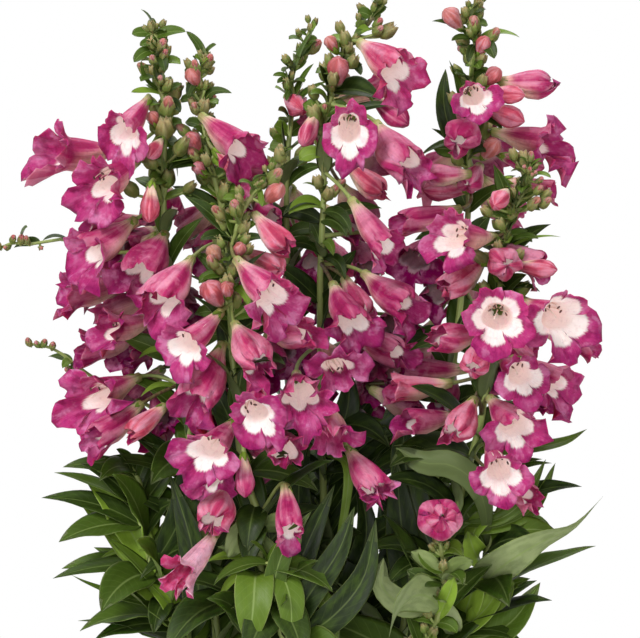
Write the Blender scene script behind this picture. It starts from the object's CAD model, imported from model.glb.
import math

import bpy
import numpy as np
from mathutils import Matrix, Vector


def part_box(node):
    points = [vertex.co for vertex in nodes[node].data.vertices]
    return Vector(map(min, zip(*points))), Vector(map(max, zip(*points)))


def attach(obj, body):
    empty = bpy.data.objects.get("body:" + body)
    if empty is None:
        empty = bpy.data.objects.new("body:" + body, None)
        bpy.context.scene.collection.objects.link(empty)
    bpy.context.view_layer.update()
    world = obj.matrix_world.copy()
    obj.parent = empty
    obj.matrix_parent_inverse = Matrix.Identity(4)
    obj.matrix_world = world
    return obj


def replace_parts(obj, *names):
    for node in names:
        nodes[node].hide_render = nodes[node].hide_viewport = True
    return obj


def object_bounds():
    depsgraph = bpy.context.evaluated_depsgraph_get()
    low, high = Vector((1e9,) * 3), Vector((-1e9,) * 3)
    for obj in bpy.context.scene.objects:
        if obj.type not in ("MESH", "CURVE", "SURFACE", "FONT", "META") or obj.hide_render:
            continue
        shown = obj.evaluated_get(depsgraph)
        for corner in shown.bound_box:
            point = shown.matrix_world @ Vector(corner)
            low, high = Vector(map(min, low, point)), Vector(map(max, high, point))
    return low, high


# Beardtongue in a vase: every stem, flower, bud and leaf is a numpy surface, placed by what the
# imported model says. Lengths are millimetres until a mesh is made. Headings are degrees to the
# right of the front (-Y), and droop is degrees below the horizontal.

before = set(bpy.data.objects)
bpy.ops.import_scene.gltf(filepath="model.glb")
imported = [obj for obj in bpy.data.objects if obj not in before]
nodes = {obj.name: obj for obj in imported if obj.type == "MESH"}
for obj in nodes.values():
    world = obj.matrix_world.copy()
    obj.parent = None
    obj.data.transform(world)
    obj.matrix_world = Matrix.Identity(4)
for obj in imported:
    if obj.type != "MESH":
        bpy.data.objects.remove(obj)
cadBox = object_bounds()
mm = 0.001
fullTurn = 6.28  # for random phases
print("scene: packed model loaded,", len(nodes), "nodes")


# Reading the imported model: a line is cut in steps, its ends left out, and looks ahead by a share of
# its last step. Facets are square millimetres, and facets alike in direction and level are one
lineValues = {"end": 0.6, "step": 5.0, "onward": 0.8}
mouthValues = {"leastFacet": 0.5, "alike": 0.9998, "level": 0.05, "uneven": 0.03, "leastArea": 8}


def nodeCorners(node):
    # corner points of the node's triangles: (triangles, 3, 3)
    mesh = nodes[node].data
    mesh.calc_loop_triangles()
    points = np.empty(len(mesh.vertices) * 3, np.float32)
    mesh.vertices.foreach_get("co", points)
    index = np.empty(len(mesh.loop_triangles) * 3, np.int32)
    mesh.loop_triangles.foreach_get("vertices", index)
    return points.reshape(-1, 3).astype(float)[index.reshape(-1, 3)] / mm


def centreLine(node, axis=2, fromHighest=False, reach=5.5):
    # cuts the node across the axis at even steps; each centre is the middle of the cut's points
    # that lie near the centre before it, so leaves and buds on the way are passed by
    corners = nodeCorners(node)
    edges = np.concatenate((corners[:, [0, 1]], corners[:, [1, 2]], corners[:, [2, 0]]))
    low, high = corners[..., axis].min(), corners[..., axis].max()
    levels = np.arange(low + lineValues["end"], high - lineValues["end"], lineValues["step"])
    line, last = [], None
    for level in levels[::-1] if fromHighest else levels:
        cut = (edges[:, 0, axis] < level) != (edges[:, 1, axis] < level)
        a, b = edges[cut, 0], edges[cut, 1]
        if not len(a):
            break
        share = (level - a[:, axis]) / (b[:, axis] - a[:, axis])
        points = a + (b - a) * share[:, None]
        if last is not None:
            ahead = last + (last - line[-2]) * lineValues["onward"] if len(line) > 1 else last
            away = np.linalg.norm(np.delete(points - ahead, axis, 1), axis=1)
            points = points[away < reach]
            if len(points) < 3:
                break
        last = (points.min(0) + points.max(0)) / 2
        line.append(last)
    return np.array(line)


def flowerMouths(node):
    # the node's flat six-cornered ends: (centre, outward direction, corner radius), highest first
    g = mouthValues
    corners = nodeCorners(node)
    facing = np.cross(corners[:, 1] - corners[:, 0], corners[:, 2] - corners[:, 0])
    size = np.linalg.norm(facing, axis=1) / 2
    keep = size > g["leastFacet"]
    corners, size, facing = corners[keep], size[keep], facing[keep] / (2 * size[keep, None])
    level = (facing * corners[:, 0]).sum(1)
    apart = np.abs(corners[:, 0] @ facing.T - level)
    alike = (facing @ facing.T > g["alike"]) & (apart < g["level"])
    found, used = [], np.zeros(len(size), bool)
    for i in np.argsort(-size):
        if used[i]:
            continue
        group = alike[i] & ~used
        used |= group
        points = np.unique(np.round(corners[group].reshape(-1, 3), 2), axis=0)
        centre = points.mean(0)
        away = np.linalg.norm(points - centre, axis=1)
        even = len(points) == 6 and away.std() < g["uneven"] * away.mean()
        if even and size[group].sum() > g["leastArea"]:
            found.append((centre, facing[i], away.mean()))
    return sorted(found, key=lambda mouth: -mouth[0][2])


def unit(vector):
    vector = np.asarray(vector, float)
    return vector / np.linalg.norm(vector, axis=-1, keepdims=True)


def aim(heading, droop):
    # the direction (sin heading cos droop, -cos heading cos droop, -sin droop)
    turn, fall = np.radians(heading), np.radians(droop)
    level = np.cos(fall)
    return np.stack((np.sin(turn) * level, -np.cos(turn) * level, -np.sin(fall) + 0 * turn), -1)


def pointAt(line, height):
    # the point of an upright line at this height
    return np.array([np.interp(height, line[:, 2], line[:, axis]) for axis in range(3)])


def squareTo(along, helper=(0.2, 0.3, 0.9)):
    # two unit vectors square to a direction and to each other
    side = unit(np.cross(along, helper))
    return side, np.cross(along, side)


# Surfaces: grids of points as whole arrays, rows along the body and columns round it

def roundTurns(count):
    # even angles round a circle
    return np.arange(count) / count * 2 * np.pi


def spokes(turn, side, lift):
    # unit vectors at these angles in the plane of side and lift
    return np.cos(turn)[None, :, None] * side + np.sin(turn)[None, :, None] * lift


def layers(*values):
    # values for each point, stacked as the last axis
    return np.stack(np.broadcast_arrays(*values), -1).astype(float)


def roundFibre(turn, along):
    # the grain of a round body: its angle as a point on a circle, and the way along it
    return layers(np.cos(turn)[None], np.sin(turn)[None], along[:, None])


def gridFaces(rows, columns):
    # quads of a grid whose last column joins its first, facing away from its axis
    row, column = np.meshgrid(np.arange(rows - 1), np.arange(columns), indexing="ij")
    beside = (column + 1) % columns
    return np.stack((row * columns + column, row * columns + beside,
                     (row + 1) * columns + beside, (row + 1) * columns + column), -1).reshape(-1, 4)


def fan(pole, ring, forward):
    # triangles from a pole to a ring of points
    beside = np.roll(ring, -1)
    pair = (ring, beside) if forward else (beside, ring)
    return np.stack((np.full(len(ring), pole), *pair), -1)


def closedGrid(grid, tint, fibre, finish):
    # a closed body: a grid round an axis, with a pole at each end
    rows, columns = grid.shape[:2]

    def poled(values):
        flat = values.reshape(rows * columns, -1)
        return np.vstack((flat, values[0].mean(0), values[-1].mean(0)))

    first, last = np.arange(columns), np.arange(columns) + (rows - 1) * columns
    tris = np.vstack((fan(rows * columns, first, False), fan(rows * columns + 1, last, True)))
    return {"points": poled(grid), "quads": gridFaces(rows, columns), "tris": tris,
            "tint": poled(tint), "fibre": poled(fibre), "finish": finish}


def gridNormals(grid):
    # away from the axis, for a grid whose columns go round it: (step around) x (step along)
    along = np.gradient(grid, axis=0)
    around = np.roll(grid, -1, 1) - np.roll(grid, 1, 1)
    return unit(np.cross(around, along) + 1e-12)


def rod(path, radii, sides, tint, finish, flutes=0.0):
    # a round tube along a path: centre + radius (cos, sin) across the path, with four faint flutes
    path = np.asarray(path, float)
    tangent = unit(np.gradient(path, axis=0) + 1e-9)
    side = unit(np.cross(np.broadcast_to(unit((0.31, 0.17, 0.93)), tangent.shape), tangent) + 1e-9)
    lift = np.cross(tangent, side)
    turn = roundTurns(sides)
    radius = np.asarray(radii, float)[:, None] * (1 + flutes * np.cos(4 * turn))[None]
    grid = path[:, None] + radius[..., None] * spokes(turn, side[:, None], lift[:, None])
    shade = np.broadcast_to(np.asarray(tint, float).reshape(-1, 1, 4), (len(path), sides, 4))
    return closedGrid(grid, shade, roundFibre(turn, np.linspace(0, 1, len(path))), finish)


def bezier(a, b, c, count):
    # (1 - t)^2 a + 2 t (1 - t) b + t^2 c
    t = np.linspace(0, 1, count)[:, None]
    return (1 - t) ** 2 * a + 2 * t * (1 - t) * b + t * t * c


def twoFaces(columns):
    # across a thin body: u runs from 1 to -1 over its upper face and back below, beside it the
    # face that it is on, 1 above, -1 below and 0 at the edges
    u = np.cos(np.linspace(0, np.pi, columns))
    face = np.where(np.arange(2 * columns - 2) < columns, 1.0, -1.0)
    face[[0, columns - 1]] = 0
    return np.concatenate((u, u[-2:0:-1]))[None], face[None]


# Leaves, bracts and sepals: how thick they are, how far the midrib stands out below and how wide it
# is, how high the halves are crowned, and how long a wave of the edge is
bladeValues = {"thick": 0.3, "rib": 0.9, "ribWidth": 0.1, "crown": 0.22, "waveLength": 5}


def archSpine(base, heading, rise, bend, length, face=0.0, rows=15):
    # a midrib that starts at the base with this heading and rise, and bends down evenly to its
    # tip; face turns the upper side towards the front
    v = np.linspace(0, 1, rows)
    direction = aim(heading + 0 * v, bend * v - rise)
    steps = np.cumsum((direction[1:] + direction[:-1]) / 2, 0) * length / (rows - 1)
    across = aim(heading + 90, 0)
    lift = np.cross(unit(steps[-1]), across)
    turn = math.radians(face) * (1 if across[1] > 0 else -1)
    return base + np.vstack((np.zeros(3), steps)), across * math.cos(turn) + lift * math.sin(turn)


def reachSpine(base, reach, arch, face, rows=15):
    # a midrib from the base to base + reach, arched upwards by a share of its length. The upper
    # side looks up at face 0, to the front at face 90, and away from it below 0
    chord = unit(reach)
    up = unit(np.array((0.02, 0.03, 1)) - chord * chord[2])
    front = np.cross(chord, up)
    front = front if front[1] < 0 else -front
    turn = math.radians(face)
    across = np.cross(up * math.cos(turn) + front * math.sin(turn), chord)
    middle = base + reach / 2 + up * arch * 2 * np.linalg.norm(reach)
    return bezier(base, middle, base + reach, rows), across


def pathSpine(points, face, rows=17):
    # a smooth midrib through these points, by Catmull-Rom curves; face as for reachSpine
    ends = np.vstack((2 * points[0] - points[1], points, 2 * points[-1] - points[-2]))
    t = np.linspace(0, len(points) - 1, rows)
    k = np.minimum(t.astype(int), len(points) - 2)
    x = (t - k)[:, None]
    a, b, c, d = (ends[k + i] for i in range(4))
    cubic = (2 * a - 5 * b + 4 * c - d) * x ** 2 + (3 * b - a - 3 * c + d) * x ** 3
    spine = b + ((c - a) * x + cubic) / 2
    turn = math.radians(face)
    return spine, np.cross((0, -math.sin(turn), math.cos(turn)), unit(np.gradient(spine, axis=0)))


def blade(spine, across, halfWidth, tone, rng, twist=0.0, fold=0.3, wave=0.1, columns=7,
          widest=0.6, point=1.0):
    # a lance-shaped blade on its midrib; across is the way its right half lies. At share v of the
    # length it is v^widest (1 - v)^point wide; its halves fold up by fold |u| and their edges wave
    g = bladeValues
    v = np.linspace(0, 1, len(spine))[:, None]
    tangent = unit(np.gradient(spine, axis=0))
    side = unit(across - tangent * (tangent * across).sum(1, keepdims=True))
    lift = np.cross(tangent, side)
    roll = np.radians(twist * v)
    turned = side * np.cos(roll) + lift * np.sin(roll)
    lift = lift * np.cos(roll) - side * np.sin(roll)
    wide = (v + 0.012) ** widest * (1 - v * 0.998) ** point  # neither end is quite a point
    wide = halfWidth * wide / wide.max()
    length = np.linalg.norm(np.diff(spine, axis=0), axis=1).sum()
    u, face = twoFaces(columns)
    phase = rng.uniform(0, fullTurn, 2)
    waves = v * (length / g["waveLength"] + 4 * np.sign(u)) + phase[0] + (u > 0) * phase[1]
    crown = g["crown"] * (np.abs(u) - u ** 2)
    high = (fold * np.abs(u) + crown + wave * u ** 2 * np.sin(waves)) * wide
    body = g["thick"] * (1 - u ** 2) ** 0.5 * (1 - 0.7 * v)
    body = body * np.sin(np.pi * np.clip(v * 1.1 + 0.06, 0, 1)) ** 0.4
    rib = g["rib"] * g["thick"] * np.exp(-(u / g["ribWidth"]) ** 2) * (face < 0) * (1 - 0.6 * v)
    lifted = high + face * body * 0.5 - rib
    grid = spine[:, None] + (u * wide)[..., None] * turned[:, None]
    grid += lifted[..., None] * lift[:, None]
    tint = layers(v, (u + 1) / 2, face < 0, tone)
    part = closedGrid(grid, tint, layers(u * halfWidth, v * length, rng.uniform(0, 50)), "leaf")
    # both faces are split along the same diagonals, so that they don't cross
    quads = part["quads"].reshape(len(spine) - 1, 2 * columns - 2, 4)
    quads[:, columns - 1:] = quads[:, columns - 1:, [1, 2, 3, 0]]
    return part


# Flowers: values of a corolla, by how far it has opened. Shares are of the mouth's radius, angles
# are degrees away from the corolla's axis, and hood is how much more the two upper lobes lean in.
anyStage = {"wide": 1.0, "tall": 1.0, "lean": 0.0}
stages = {
    "face": dict(size=1.10, tube=0.80, throat=0.42, start=24, end=80, lobe=0.79, notch=0.34,
                 widen=0.44, crease=0.03, ruffle=1.8, reflex=24, hood=20, palate=1.0, brow=-0.14),
    "open": dict(size=1.20, tube=0.78, throat=0.48, start=14, end=60, lobe=0.82, notch=0.32,
                 widen=0.48, crease=0.05, ruffle=2.3, reflex=34, hood=46, palate=0.8, brow=-0.18),
    "bell": dict(size=1.20, tube=0.78, throat=0.56, start=4, end=18, lobe=0.86, notch=0.30,
                 widen=0.50, crease=0.08, ruffle=2.6, reflex=38, hood=46, palate=0.6, brow=-0.2),
    "pout": dict(size=1.15, tube=0.74, throat=0.64, start=2, end=-40, lobe=1.0, notch=0.26,
                 widen=0.56, crease=0.12, ruffle=2.8, reflex=34, hood=18, palate=0.4, brow=-0.2),
    "lips": dict(size=1.10, tube=0.70, throat=0.72, start=2, end=-74, lobe=1.16, notch=0.24,
                 widen=0.62, crease=0.14, ruffle=2.6, reflex=26, hood=6, palate=0.3, brow=-0.2),
}
# grids are for a small and for a large corolla, which is one wider than this; lobes are the two
# upper ones, then the three lower ones, with the angles at their edges
corollaValues = {
    "large": 12.5, "tubeRows": (5, 8), "lobeRows": (7, 11), "lobeColumns": (8, 13), "wall": 0.3,
    "lobeEdges": (16.5, 90, 163.5, 237.5, 302.5, 376.5),
    "lobeLengths": (0.78, 0.78, 1.0, 1.12, 1.0), "lengthSpread": (0.9, 1.1),
    "upper": (1, 1, 0, 0, 0), "neck": 2.3, "neckShare": 0.45,
    "bulge": 0.075, "ragged": 0.035, "fringe": 0.025, "wave": 0.55, "ripple": 0.3, "frill": 0.6,
    "ruffle": 0.085, "cup": 0.16, "twist": 0.12, "slant": 0.045, "belly": 0.16, "palate": 0.20,
    "flat": (1.04, 0.97), "lip": 0.32, "warp": 0.075, "tongue": (0.0, 0.0, 0.0, 0.05, 0.0),
}


def newLook(kind, tone, white, turns, changes, rng):
    # all the values of one corolla; turns is how far it may be rolled about its axis
    own = dict(tone=tone, white=white, roll=rng.uniform(-turns, turns), seed=rng.uniform(0, 40))
    return {**anyStage, **stages[kind], **own, **changes}


def tubeGrid(radius, length, look, angle, rows, rng):
    # the tube: its radius grows from the neck to the throat by a smooth step of the way a, with a
    # bulge halfway and creases round it
    g = corollaValues
    throat = radius * look["throat"]
    a = np.linspace(0, 1, rows)[:, None]
    ease = np.clip((a - 0.08) / 0.86, 0, 1)
    ease = 0.6 * ease * ease * (3 - 2 * ease) + 0.4 * ease
    neck = min(g["neck"], throat * g["neckShare"])
    out = neck + (throat - neck) * ease + g["bulge"] * throat * np.sin(np.pi * a) ** 2
    fold = np.cos(5 * (angle - np.radians(270)))
    fold += 0.6 * np.cos(3 * angle + rng.uniform(0, fullTurn))
    return a, out * (1 + look["crease"] * fold * ease), a * length * look["tube"] + 0 * angle


def lobeGrid(radius, look, s, lobe, rows, rng):
    # The lobes, as steps out and ahead from the end of the tube. Along a column the lobe leaves the
    # axis by an angle that grows with the share d of the lobe's length, where the columns' own
    # lengths follow the lobe's outline. Ruffles, cup and twist move a point across the wall.
    g = corollaValues
    t = (np.arange(rows) + 1)[:, None] / rows
    lengthOf = rng.uniform(*g["lengthSpread"], 5) * np.array(g["lobeLengths"])
    endOf = look["end"] + rng.uniform(-1, 1, 5) * look["reflex"]
    endOf -= np.array(g["upper"]) * look["hood"]
    # one lobe lies folded over or back further than the rest
    endOf[rng.integers(5)] += rng.choice((-1, 1)) * rng.uniform(0.8, 1.8) * look["reflex"]
    cup, twist = (rng.uniform(-1, 1, 5)[lobe] * look["ruffle"] for _ in range(2))
    first, second, third = rng.uniform(0, fullTurn, (3, 5))[:, lobe]
    outline = look["notch"] + (1 - look["notch"]) * np.clip(1 - np.abs(s) ** 2.1, 0, 1) ** 0.58
    ragged = 1 + g["ragged"] * np.sin(8 * s + first) + g["fringe"] * np.sin(15 * s + second)
    f = outline * lengthOf[lobe] * ragged
    d = t * f
    bend = look["start"] + (endOf[lobe] - look["start"]) * (1 - np.clip(1 - d, 0, 1) ** 1.35)
    slope = np.radians(bend)
    step = radius * look["lobe"] * f / rows
    wave = g["wave"] * np.sin(3 * np.pi * s + first)
    wave += g["ripple"] * np.sin(5.2 * np.pi * s + second)
    frill = g["frill"] * np.sin(7.5 * np.pi * s + third) * d ** 3
    push = radius * d ** 1.6 * ((wave + frill) * look["ruffle"] * g["ruffle"]
                                + cup * s ** 2 * g["cup"] + twist * s * g["twist"])
    push = push + d * s * radius * g["slant"]
    out = np.cumsum(np.sin(slope) * step, 0) + push * np.cos(slope)
    ahead = np.cumsum(np.cos(slope) * step, 0) - push * np.sin(slope)
    return t, d, out, ahead


def placedGrid(local, base, along, length, look):
    # turns the corolla about its axis and leans it over towards the front by a parabola, with
    # which the mouth turns
    up = unit(np.array((0, 0, 1.0)) - along * along[2] + 1e-6)
    right = np.cross(up, along)
    spin = math.radians(look["roll"])
    right, up = (right * math.cos(spin) + up * math.sin(spin),
                 up * math.cos(spin) - right * math.sin(spin))
    front = unit(np.array((0, -1.0, 0)) + along * along[1] + 1e-6)
    across, ahead = local[..., :2] @ np.stack((right, up)), local[..., 2:]
    slope = 2 * look["lean"] * np.clip(ahead / length, 0, 1.1)
    turned = across - (across @ front)[..., None] * slope * along
    leant = look["lean"] * front * np.clip(ahead, 0, None) ** 2 / length
    return base + ahead * along + leant + turned, right, up


def corollaPart(base, along, radius, length, look, rng):
    # a tube that widens from the stalk to the throat, then five lobes that widen by
    # (1 + widen d), so that they overlap. Two walls make it a closed body
    g = corollaValues
    large = int(radius > g["large"])
    tubeRows, lobeRows, count = (g[key][large] for key in ("tubeRows", "lobeRows", "lobeColumns"))
    x = np.tile(np.linspace(-1, 1, count + 1)[:-1], 5)
    lobe = np.repeat(np.arange(5), count)
    s = 0.65 * np.sin(np.pi / 2 * x) + 0.35 * x  # -1 to 1 across a lobe, closer at its edges
    edges = np.array(g["lobeEdges"])
    low, high = edges[:-1][lobe], edges[1:][lobe]
    middle, half = (low + high) / 2, (high - low) / 2
    tubeAngle = np.radians(middle + s * half)[None] + np.zeros((tubeRows, 1))
    a, tubeR, tubeZ = tubeGrid(radius, length, look, tubeAngle, tubeRows, rng)
    t, d, out, ahead = lobeGrid(radius, look, s, lobe, lobeRows, rng)
    R = np.vstack((tubeR, tubeR[-1] + out))
    Z = np.vstack((tubeZ, length * look["tube"] + ahead))
    angle = np.vstack((tubeAngle, np.radians(middle + s * half * (1 + look["widen"] * d))))
    # a fuller belly below, where the wall swells into the throat as two low ridges, and the lower
    # lip ahead of the upper
    share = np.clip(Z / length, 0, 1.2)
    belly = g["belly"] * radius * look["throat"] * np.sin(np.pi * np.clip(share, 0, 1) ** 1.4)
    cosine = np.cos(angle)
    ridges = 3 * cosine ** 2 * np.exp(-(cosine / 0.45) ** 2) + np.exp(-(cosine / 0.5) ** 2)
    ridges = ridges * (np.sin(angle) < 0) * np.exp(-((share - 0.80) / 0.13) ** 2)
    R = R * (1 - g["palate"] * look["palate"] * ridges)
    X = R * np.cos(angle) * g["flat"][0] * look["wide"]
    Y = R * np.sin(angle) * g["flat"][1] * look["tall"] - belly
    Z = Z - Y * g["lip"] * np.clip(share - 0.5, 0, 1)
    warp = rng.uniform(-1, 1, (3, 3)) / (radius * 0.9)
    shift = rng.uniform(0, fullTurn, 3)
    local = np.stack((X, Y, Z), -1)
    warped = np.sin(local @ warp + shift) * radius * g["warp"]
    warped *= np.clip(share, 0, 1)[..., None] ** 2
    grid, right, up = placedGrid(local + warped, base, along, length, look)
    # two walls, thinner at the lobes' edges
    rows, columns = grid.shape[:2]
    thin = np.clip((1.04 - np.vstack((a * 0, t))) * 4, 0.15, 1)
    wall = gridNormals(grid) * (g["wall"] / 2 * thin)[..., None]
    outer, inner = grid + wall, grid - wall
    number = rows * columns
    points = np.vstack((outer.reshape(-1, 3), inner.reshape(-1, 3),
                        outer[0].mean(0) - along * 0.15, inner[0].mean(0) + along * 0.15))
    quads, start = gridFaces(rows, columns), np.arange(columns)
    rim = (rows - 1) * columns + start
    beside = np.roll(rim, -1)
    joined = np.stack((rim, beside, beside + number, rim + number), -1)
    # tint: way along, wall, tone, and how far the throat's white runs out, further along the
    # middle of each lobe and on the lower ones
    way = np.vstack((a * 0.5 + 0 * tubeAngle, 0.5 + 0.5 * np.clip(d, 0, 1)))
    tongue = rng.uniform(-0.03, 0.03, 5) + np.array(g["upper"]) * look["brow"] + g["tongue"]
    white = look["white"] + tongue[lobe] + 0.12 * (1 - s * s) - 0.02
    tone = look["tone"] / 2
    tint = [layers(way, side, tone, pale).reshape(-1, 4)
            for side, pale in ((0, 0.0), (1, white[None]))]
    fibre = layers(np.cos(angle), np.sin(angle), way + look["seed"]).reshape(-1, 3)
    return {
        "points": points,
        "quads": np.vstack((quads, quads[:, [0, 3, 2, 1]] + number, joined)),
        "tris": np.vstack((fan(2 * number, start, False),
                           fan(2 * number + 1, start + number, True))),
        "tint": np.vstack((*tint, (0, 0, tone, 0.0), (0, 1, tone, look["white"]))),
        "fibre": np.vstack((fibre, fibre, fibre[:1], fibre[:1])),
        "finish": "petal",
    }, right, up


# measures in pairs start at the first value and grow by the second for each millimetre of the
# flower's or bud's radius; where there are two pairs, the least one counts
calyxValues = {
    "length": (0.85, 1.2), "gape": 1.4, "thick": 0.22, "curve": 0.3, "tones": (0.7, 1.0),
    "below": 1.2, "reach": ((4.8, 0.30),), "width": ((1.35, 0.06), (0.5, 0.4)),
    "foot": ((0.9, 0), (0, 0.3)), "clasp": ((1.6, 0), (0, 0.62)),
}


def calyxParts(base, along, radius, right, up, rng, reach=None):
    # five pointed sepals that clasp the corolla's foot: at share v of its length a sepal is
    # v^0.55 (1 - v) wide, and it stands off the foot by sin(0.62 pi v)^0.8, then gapes by v^2
    g = calyxValues
    parts = []
    own, width, foot, clasp = (min(start + growth * radius for start, growth in g[key])
                               for key in ("reach", "width", "foot", "clasp"))
    reach = reach or own
    v = np.linspace(0, 1, 6)[:, None]
    wide = width * 2.2 * (v + 0.06) ** 0.55 * (1 - v * 0.98)
    clasp = foot + clasp * np.sin(np.pi * v * 0.62) ** 0.8
    u, face = twoFaces(4)
    body = g["thick"] * face * np.sin(np.pi * np.clip(v + 0.1, 0, 1))
    for turn in np.radians(np.arange(5) * 72 + rng.uniform(0, 72)):
        out = math.cos(turn) * right + math.sin(turn) * up
        length = rng.uniform(*g["length"]) * reach
        bulge = clasp + rng.uniform(0.0, g["gape"]) * v ** 2
        spine = base - along * g["below"] + along * (v * length) + out * bulge
        curve = body - g["curve"] * u ** 2 * wide
        side = unit(np.cross(out, along))
        grid = spine[:, None] + (u * wide)[..., None] * side + curve[..., None] * out
        tint = layers(v, (u + 1) / 2, face < 0, rng.uniform(*g["tones"]))
        fibre = layers(u * 2, v * length, rng.uniform(0, 50))
        parts.append(closedGrid(grid[:, ::-1], tint[:, ::-1], fibre[:, ::-1], "leaf"))
    return parts


stamenValues = {"turns": (28, 62, 118, 152), "foot": 0.35, "end": 0.22, "styleEnd": 0.28,
                "anther": 1.15}


def stamenParts(base, along, radius, length, right, up, rng):
    # four threads that arch under the upper wall with dark anthers, and a pale style
    g = stamenValues
    parts = []
    throat = radius * 0.5
    ahead = along * length

    def thread(foot, middle, end, tip):
        path = bezier(base + ahead * 0.3 + foot, base + ahead * 0.55 + middle, end, 8)
        parts.append(rod(path, np.linspace(g["foot"], tip, 8), 5, (0, 0, 0, 0), "thread"))

    for turn in g["turns"]:
        turn = math.radians(turn + rng.uniform(-6, 6))
        out = (math.cos(turn) * right + math.sin(turn) * up) * throat
        end = base + ahead * rng.uniform(0.66, 0.78) + out * rng.uniform(0.45, 0.62)
        thread(out * 0.2, out * 0.85, end, g["end"])
        parts.append(anther(end + along * 0.4, unit(right * rng.uniform(-1, 1) + up), g["anther"]))
    end = base + ahead * rng.uniform(0.72, 0.82) - up * throat * 0.1 + right * rng.uniform(-1, 1)
    thread(0, up * throat * 0.4, end, g["styleEnd"])
    return parts


def anther(spot, along, size):
    # two-lobed pod: an ellipsoid pinched at its middle
    turn, v = roundTurns(8), np.linspace(0.04, 0.96, 7)
    radius = np.sin(np.pi * v) * size * 0.55 * (1 - 0.35 * np.exp(-((v - 0.5) / 0.12) ** 2))
    side, lift = squareTo(along, (0.3, 0.8, 0.5))
    grid = (spot + ((v - 0.5) * 2 * size)[:, None, None] * along
            + radius[:, None, None] * spokes(turn, side, lift))
    return closedGrid(grid, np.zeros((7, 8, 4)), roundFibre(turn, v), "anther")


# a large bud's and a young bud's radius along its length, as shares
budProfiles = {
    "club": ((0, 0.12, 0.35, 0.62, 0.8, 0.92, 1.0), (0.30, 0.42, 0.72, 1.0, 0.93, 0.58, 0.12)),
    "egg": ((0, 0.15, 0.4, 0.65, 0.85, 1), (0.35, 0.82, 1.0, 0.84, 0.52, 0.16)),
}
clubValues = {"wind": 0.9, "crease": 0.26, "uneven": 0.09}
eggValues = {"rib": 1.12, "groove": 0.80, "deeper": 0.22, "tips": 0.36, "grooveEnd": 0.72}


def budPart(tip, along, radius, length, tone, green, rng):
    # a closed bud: a club whose tip is wound from five folded lobes, with creases of depth
    # |cos(2.5 w)|^5 at the angle w = turn + 0.9 v^2
    g = clubValues
    turn, v = roundTurns(15), np.linspace(0, 1, 12)
    wound = turn[None] + g["wind"] * v[:, None] ** 2
    depth = g["crease"] * np.abs(np.cos(2.5 * wound)) ** 5
    crease = 1 - depth * np.clip(v[:, None] * 1.6 - 0.4, 0, 1)
    uneven = np.sin(3 * turn[None] + 5 * v[:, None] + rng.uniform(0, fullTurn))
    out = radius * np.interp(v, *budProfiles["club"])[:, None]
    out = out * (crease + g["uneven"] * uneven * v[:, None])
    grid = (tip + ((v - 1) * length)[:, None, None] * along
            + out[..., None] * spokes(turn, *squareTo(along)))
    tint = layers(v[:, None], 0 * turn, tone / 2, green)
    return closedGrid(grid, tint, roundFibre(turn, v + rng.uniform(0, 50)), "petal")


def youngBud(base, along, radius, length, tone, rng):
    # A young bud, closed in its five pointed sepals: an egg of ten columns, where the columns
    # between the sepals' ribs lie deeper and end lower, and the tips stand off a little
    g = eggValues
    rib = np.arange(10) % 2 == 0
    turn = roundTurns(10) + rng.uniform(0, fullTurn)
    v = np.linspace(0, 1, 8)[:, None]
    profile = np.interp(v, *budProfiles["egg"])
    depth = np.where(rib, g["rib"], g["groove"] - g["deeper"] * v)
    out = radius * (profile * depth + g["tips"] * rib * v ** 5)
    ahead = v * np.where(rib, 1.0, g["grooveEnd"]) * length
    grid = base + ahead[..., None] * along + out[..., None] * spokes(turn, *squareTo(along))
    way = v * np.where(rib, 1.0, 0.62) + np.where(rib, 0.0, 0.30)
    tint = layers(way, 0.0, tone / 2, rng.uniform(0.86, 1.0))
    return closedGrid(grid, tint, roundFibre(turn, v[:, 0] + rng.uniform(0, 50)), "petal")


finishes = {}


def makePiece(name, parts):
    # one mesh object of these parts, with a material slot for each finish
    def stacked(key):
        return np.vstack([part[key] for part in parts])

    counts = np.cumsum([0] + [len(part["points"]) for part in parts])
    quads, tris = (np.vstack([part[key] + at for part, at in zip(parts, counts)])
                   for key in ("quads", "tris"))
    used = sorted({part["finish"] for part in parts})
    slots = [used.index(part["finish"]) for part in parts]
    slotOf = np.concatenate([np.repeat(slots, [len(part[key]) for part in parts])
                             for key in ("quads", "tris")])
    mesh = bpy.data.meshes.new(name)
    mesh.vertices.add(int(counts[-1]))
    mesh.vertices.foreach_set("co", (stacked("points") * mm).astype(np.float32).ravel())
    index = np.concatenate((quads.ravel(), tris.ravel())).astype(np.int32)
    mesh.loops.add(len(index))
    mesh.loops.foreach_set("vertex_index", index)
    sizes = np.concatenate((np.full(len(quads), 4), np.full(len(tris), 3))).astype(np.int32)
    mesh.polygons.add(len(sizes))
    mesh.polygons.foreach_set("loop_start", (np.cumsum(sizes) - sizes).astype(np.int32))
    mesh.polygons.foreach_set("material_index", slotOf.astype(np.int32))
    mesh.polygons.foreach_set("use_smooth", np.ones(len(sizes), bool))
    for key, kind, field in (("tint", "FLOAT_COLOR", "color"), ("fibre", "FLOAT_VECTOR", "vector")):
        values = mesh.attributes.new(key, kind, "POINT").data
        values.foreach_set(field, stacked(key).astype(np.float32).ravel())
    mesh.update(calc_edges=True)
    mesh.validate()
    for finish in used:
        mesh.materials.append(finishes[finish])
    thing = bpy.data.objects.new(name, mesh)
    bpy.context.scene.collection.objects.link(thing)
    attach(thing, "root")
    return thing


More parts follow.
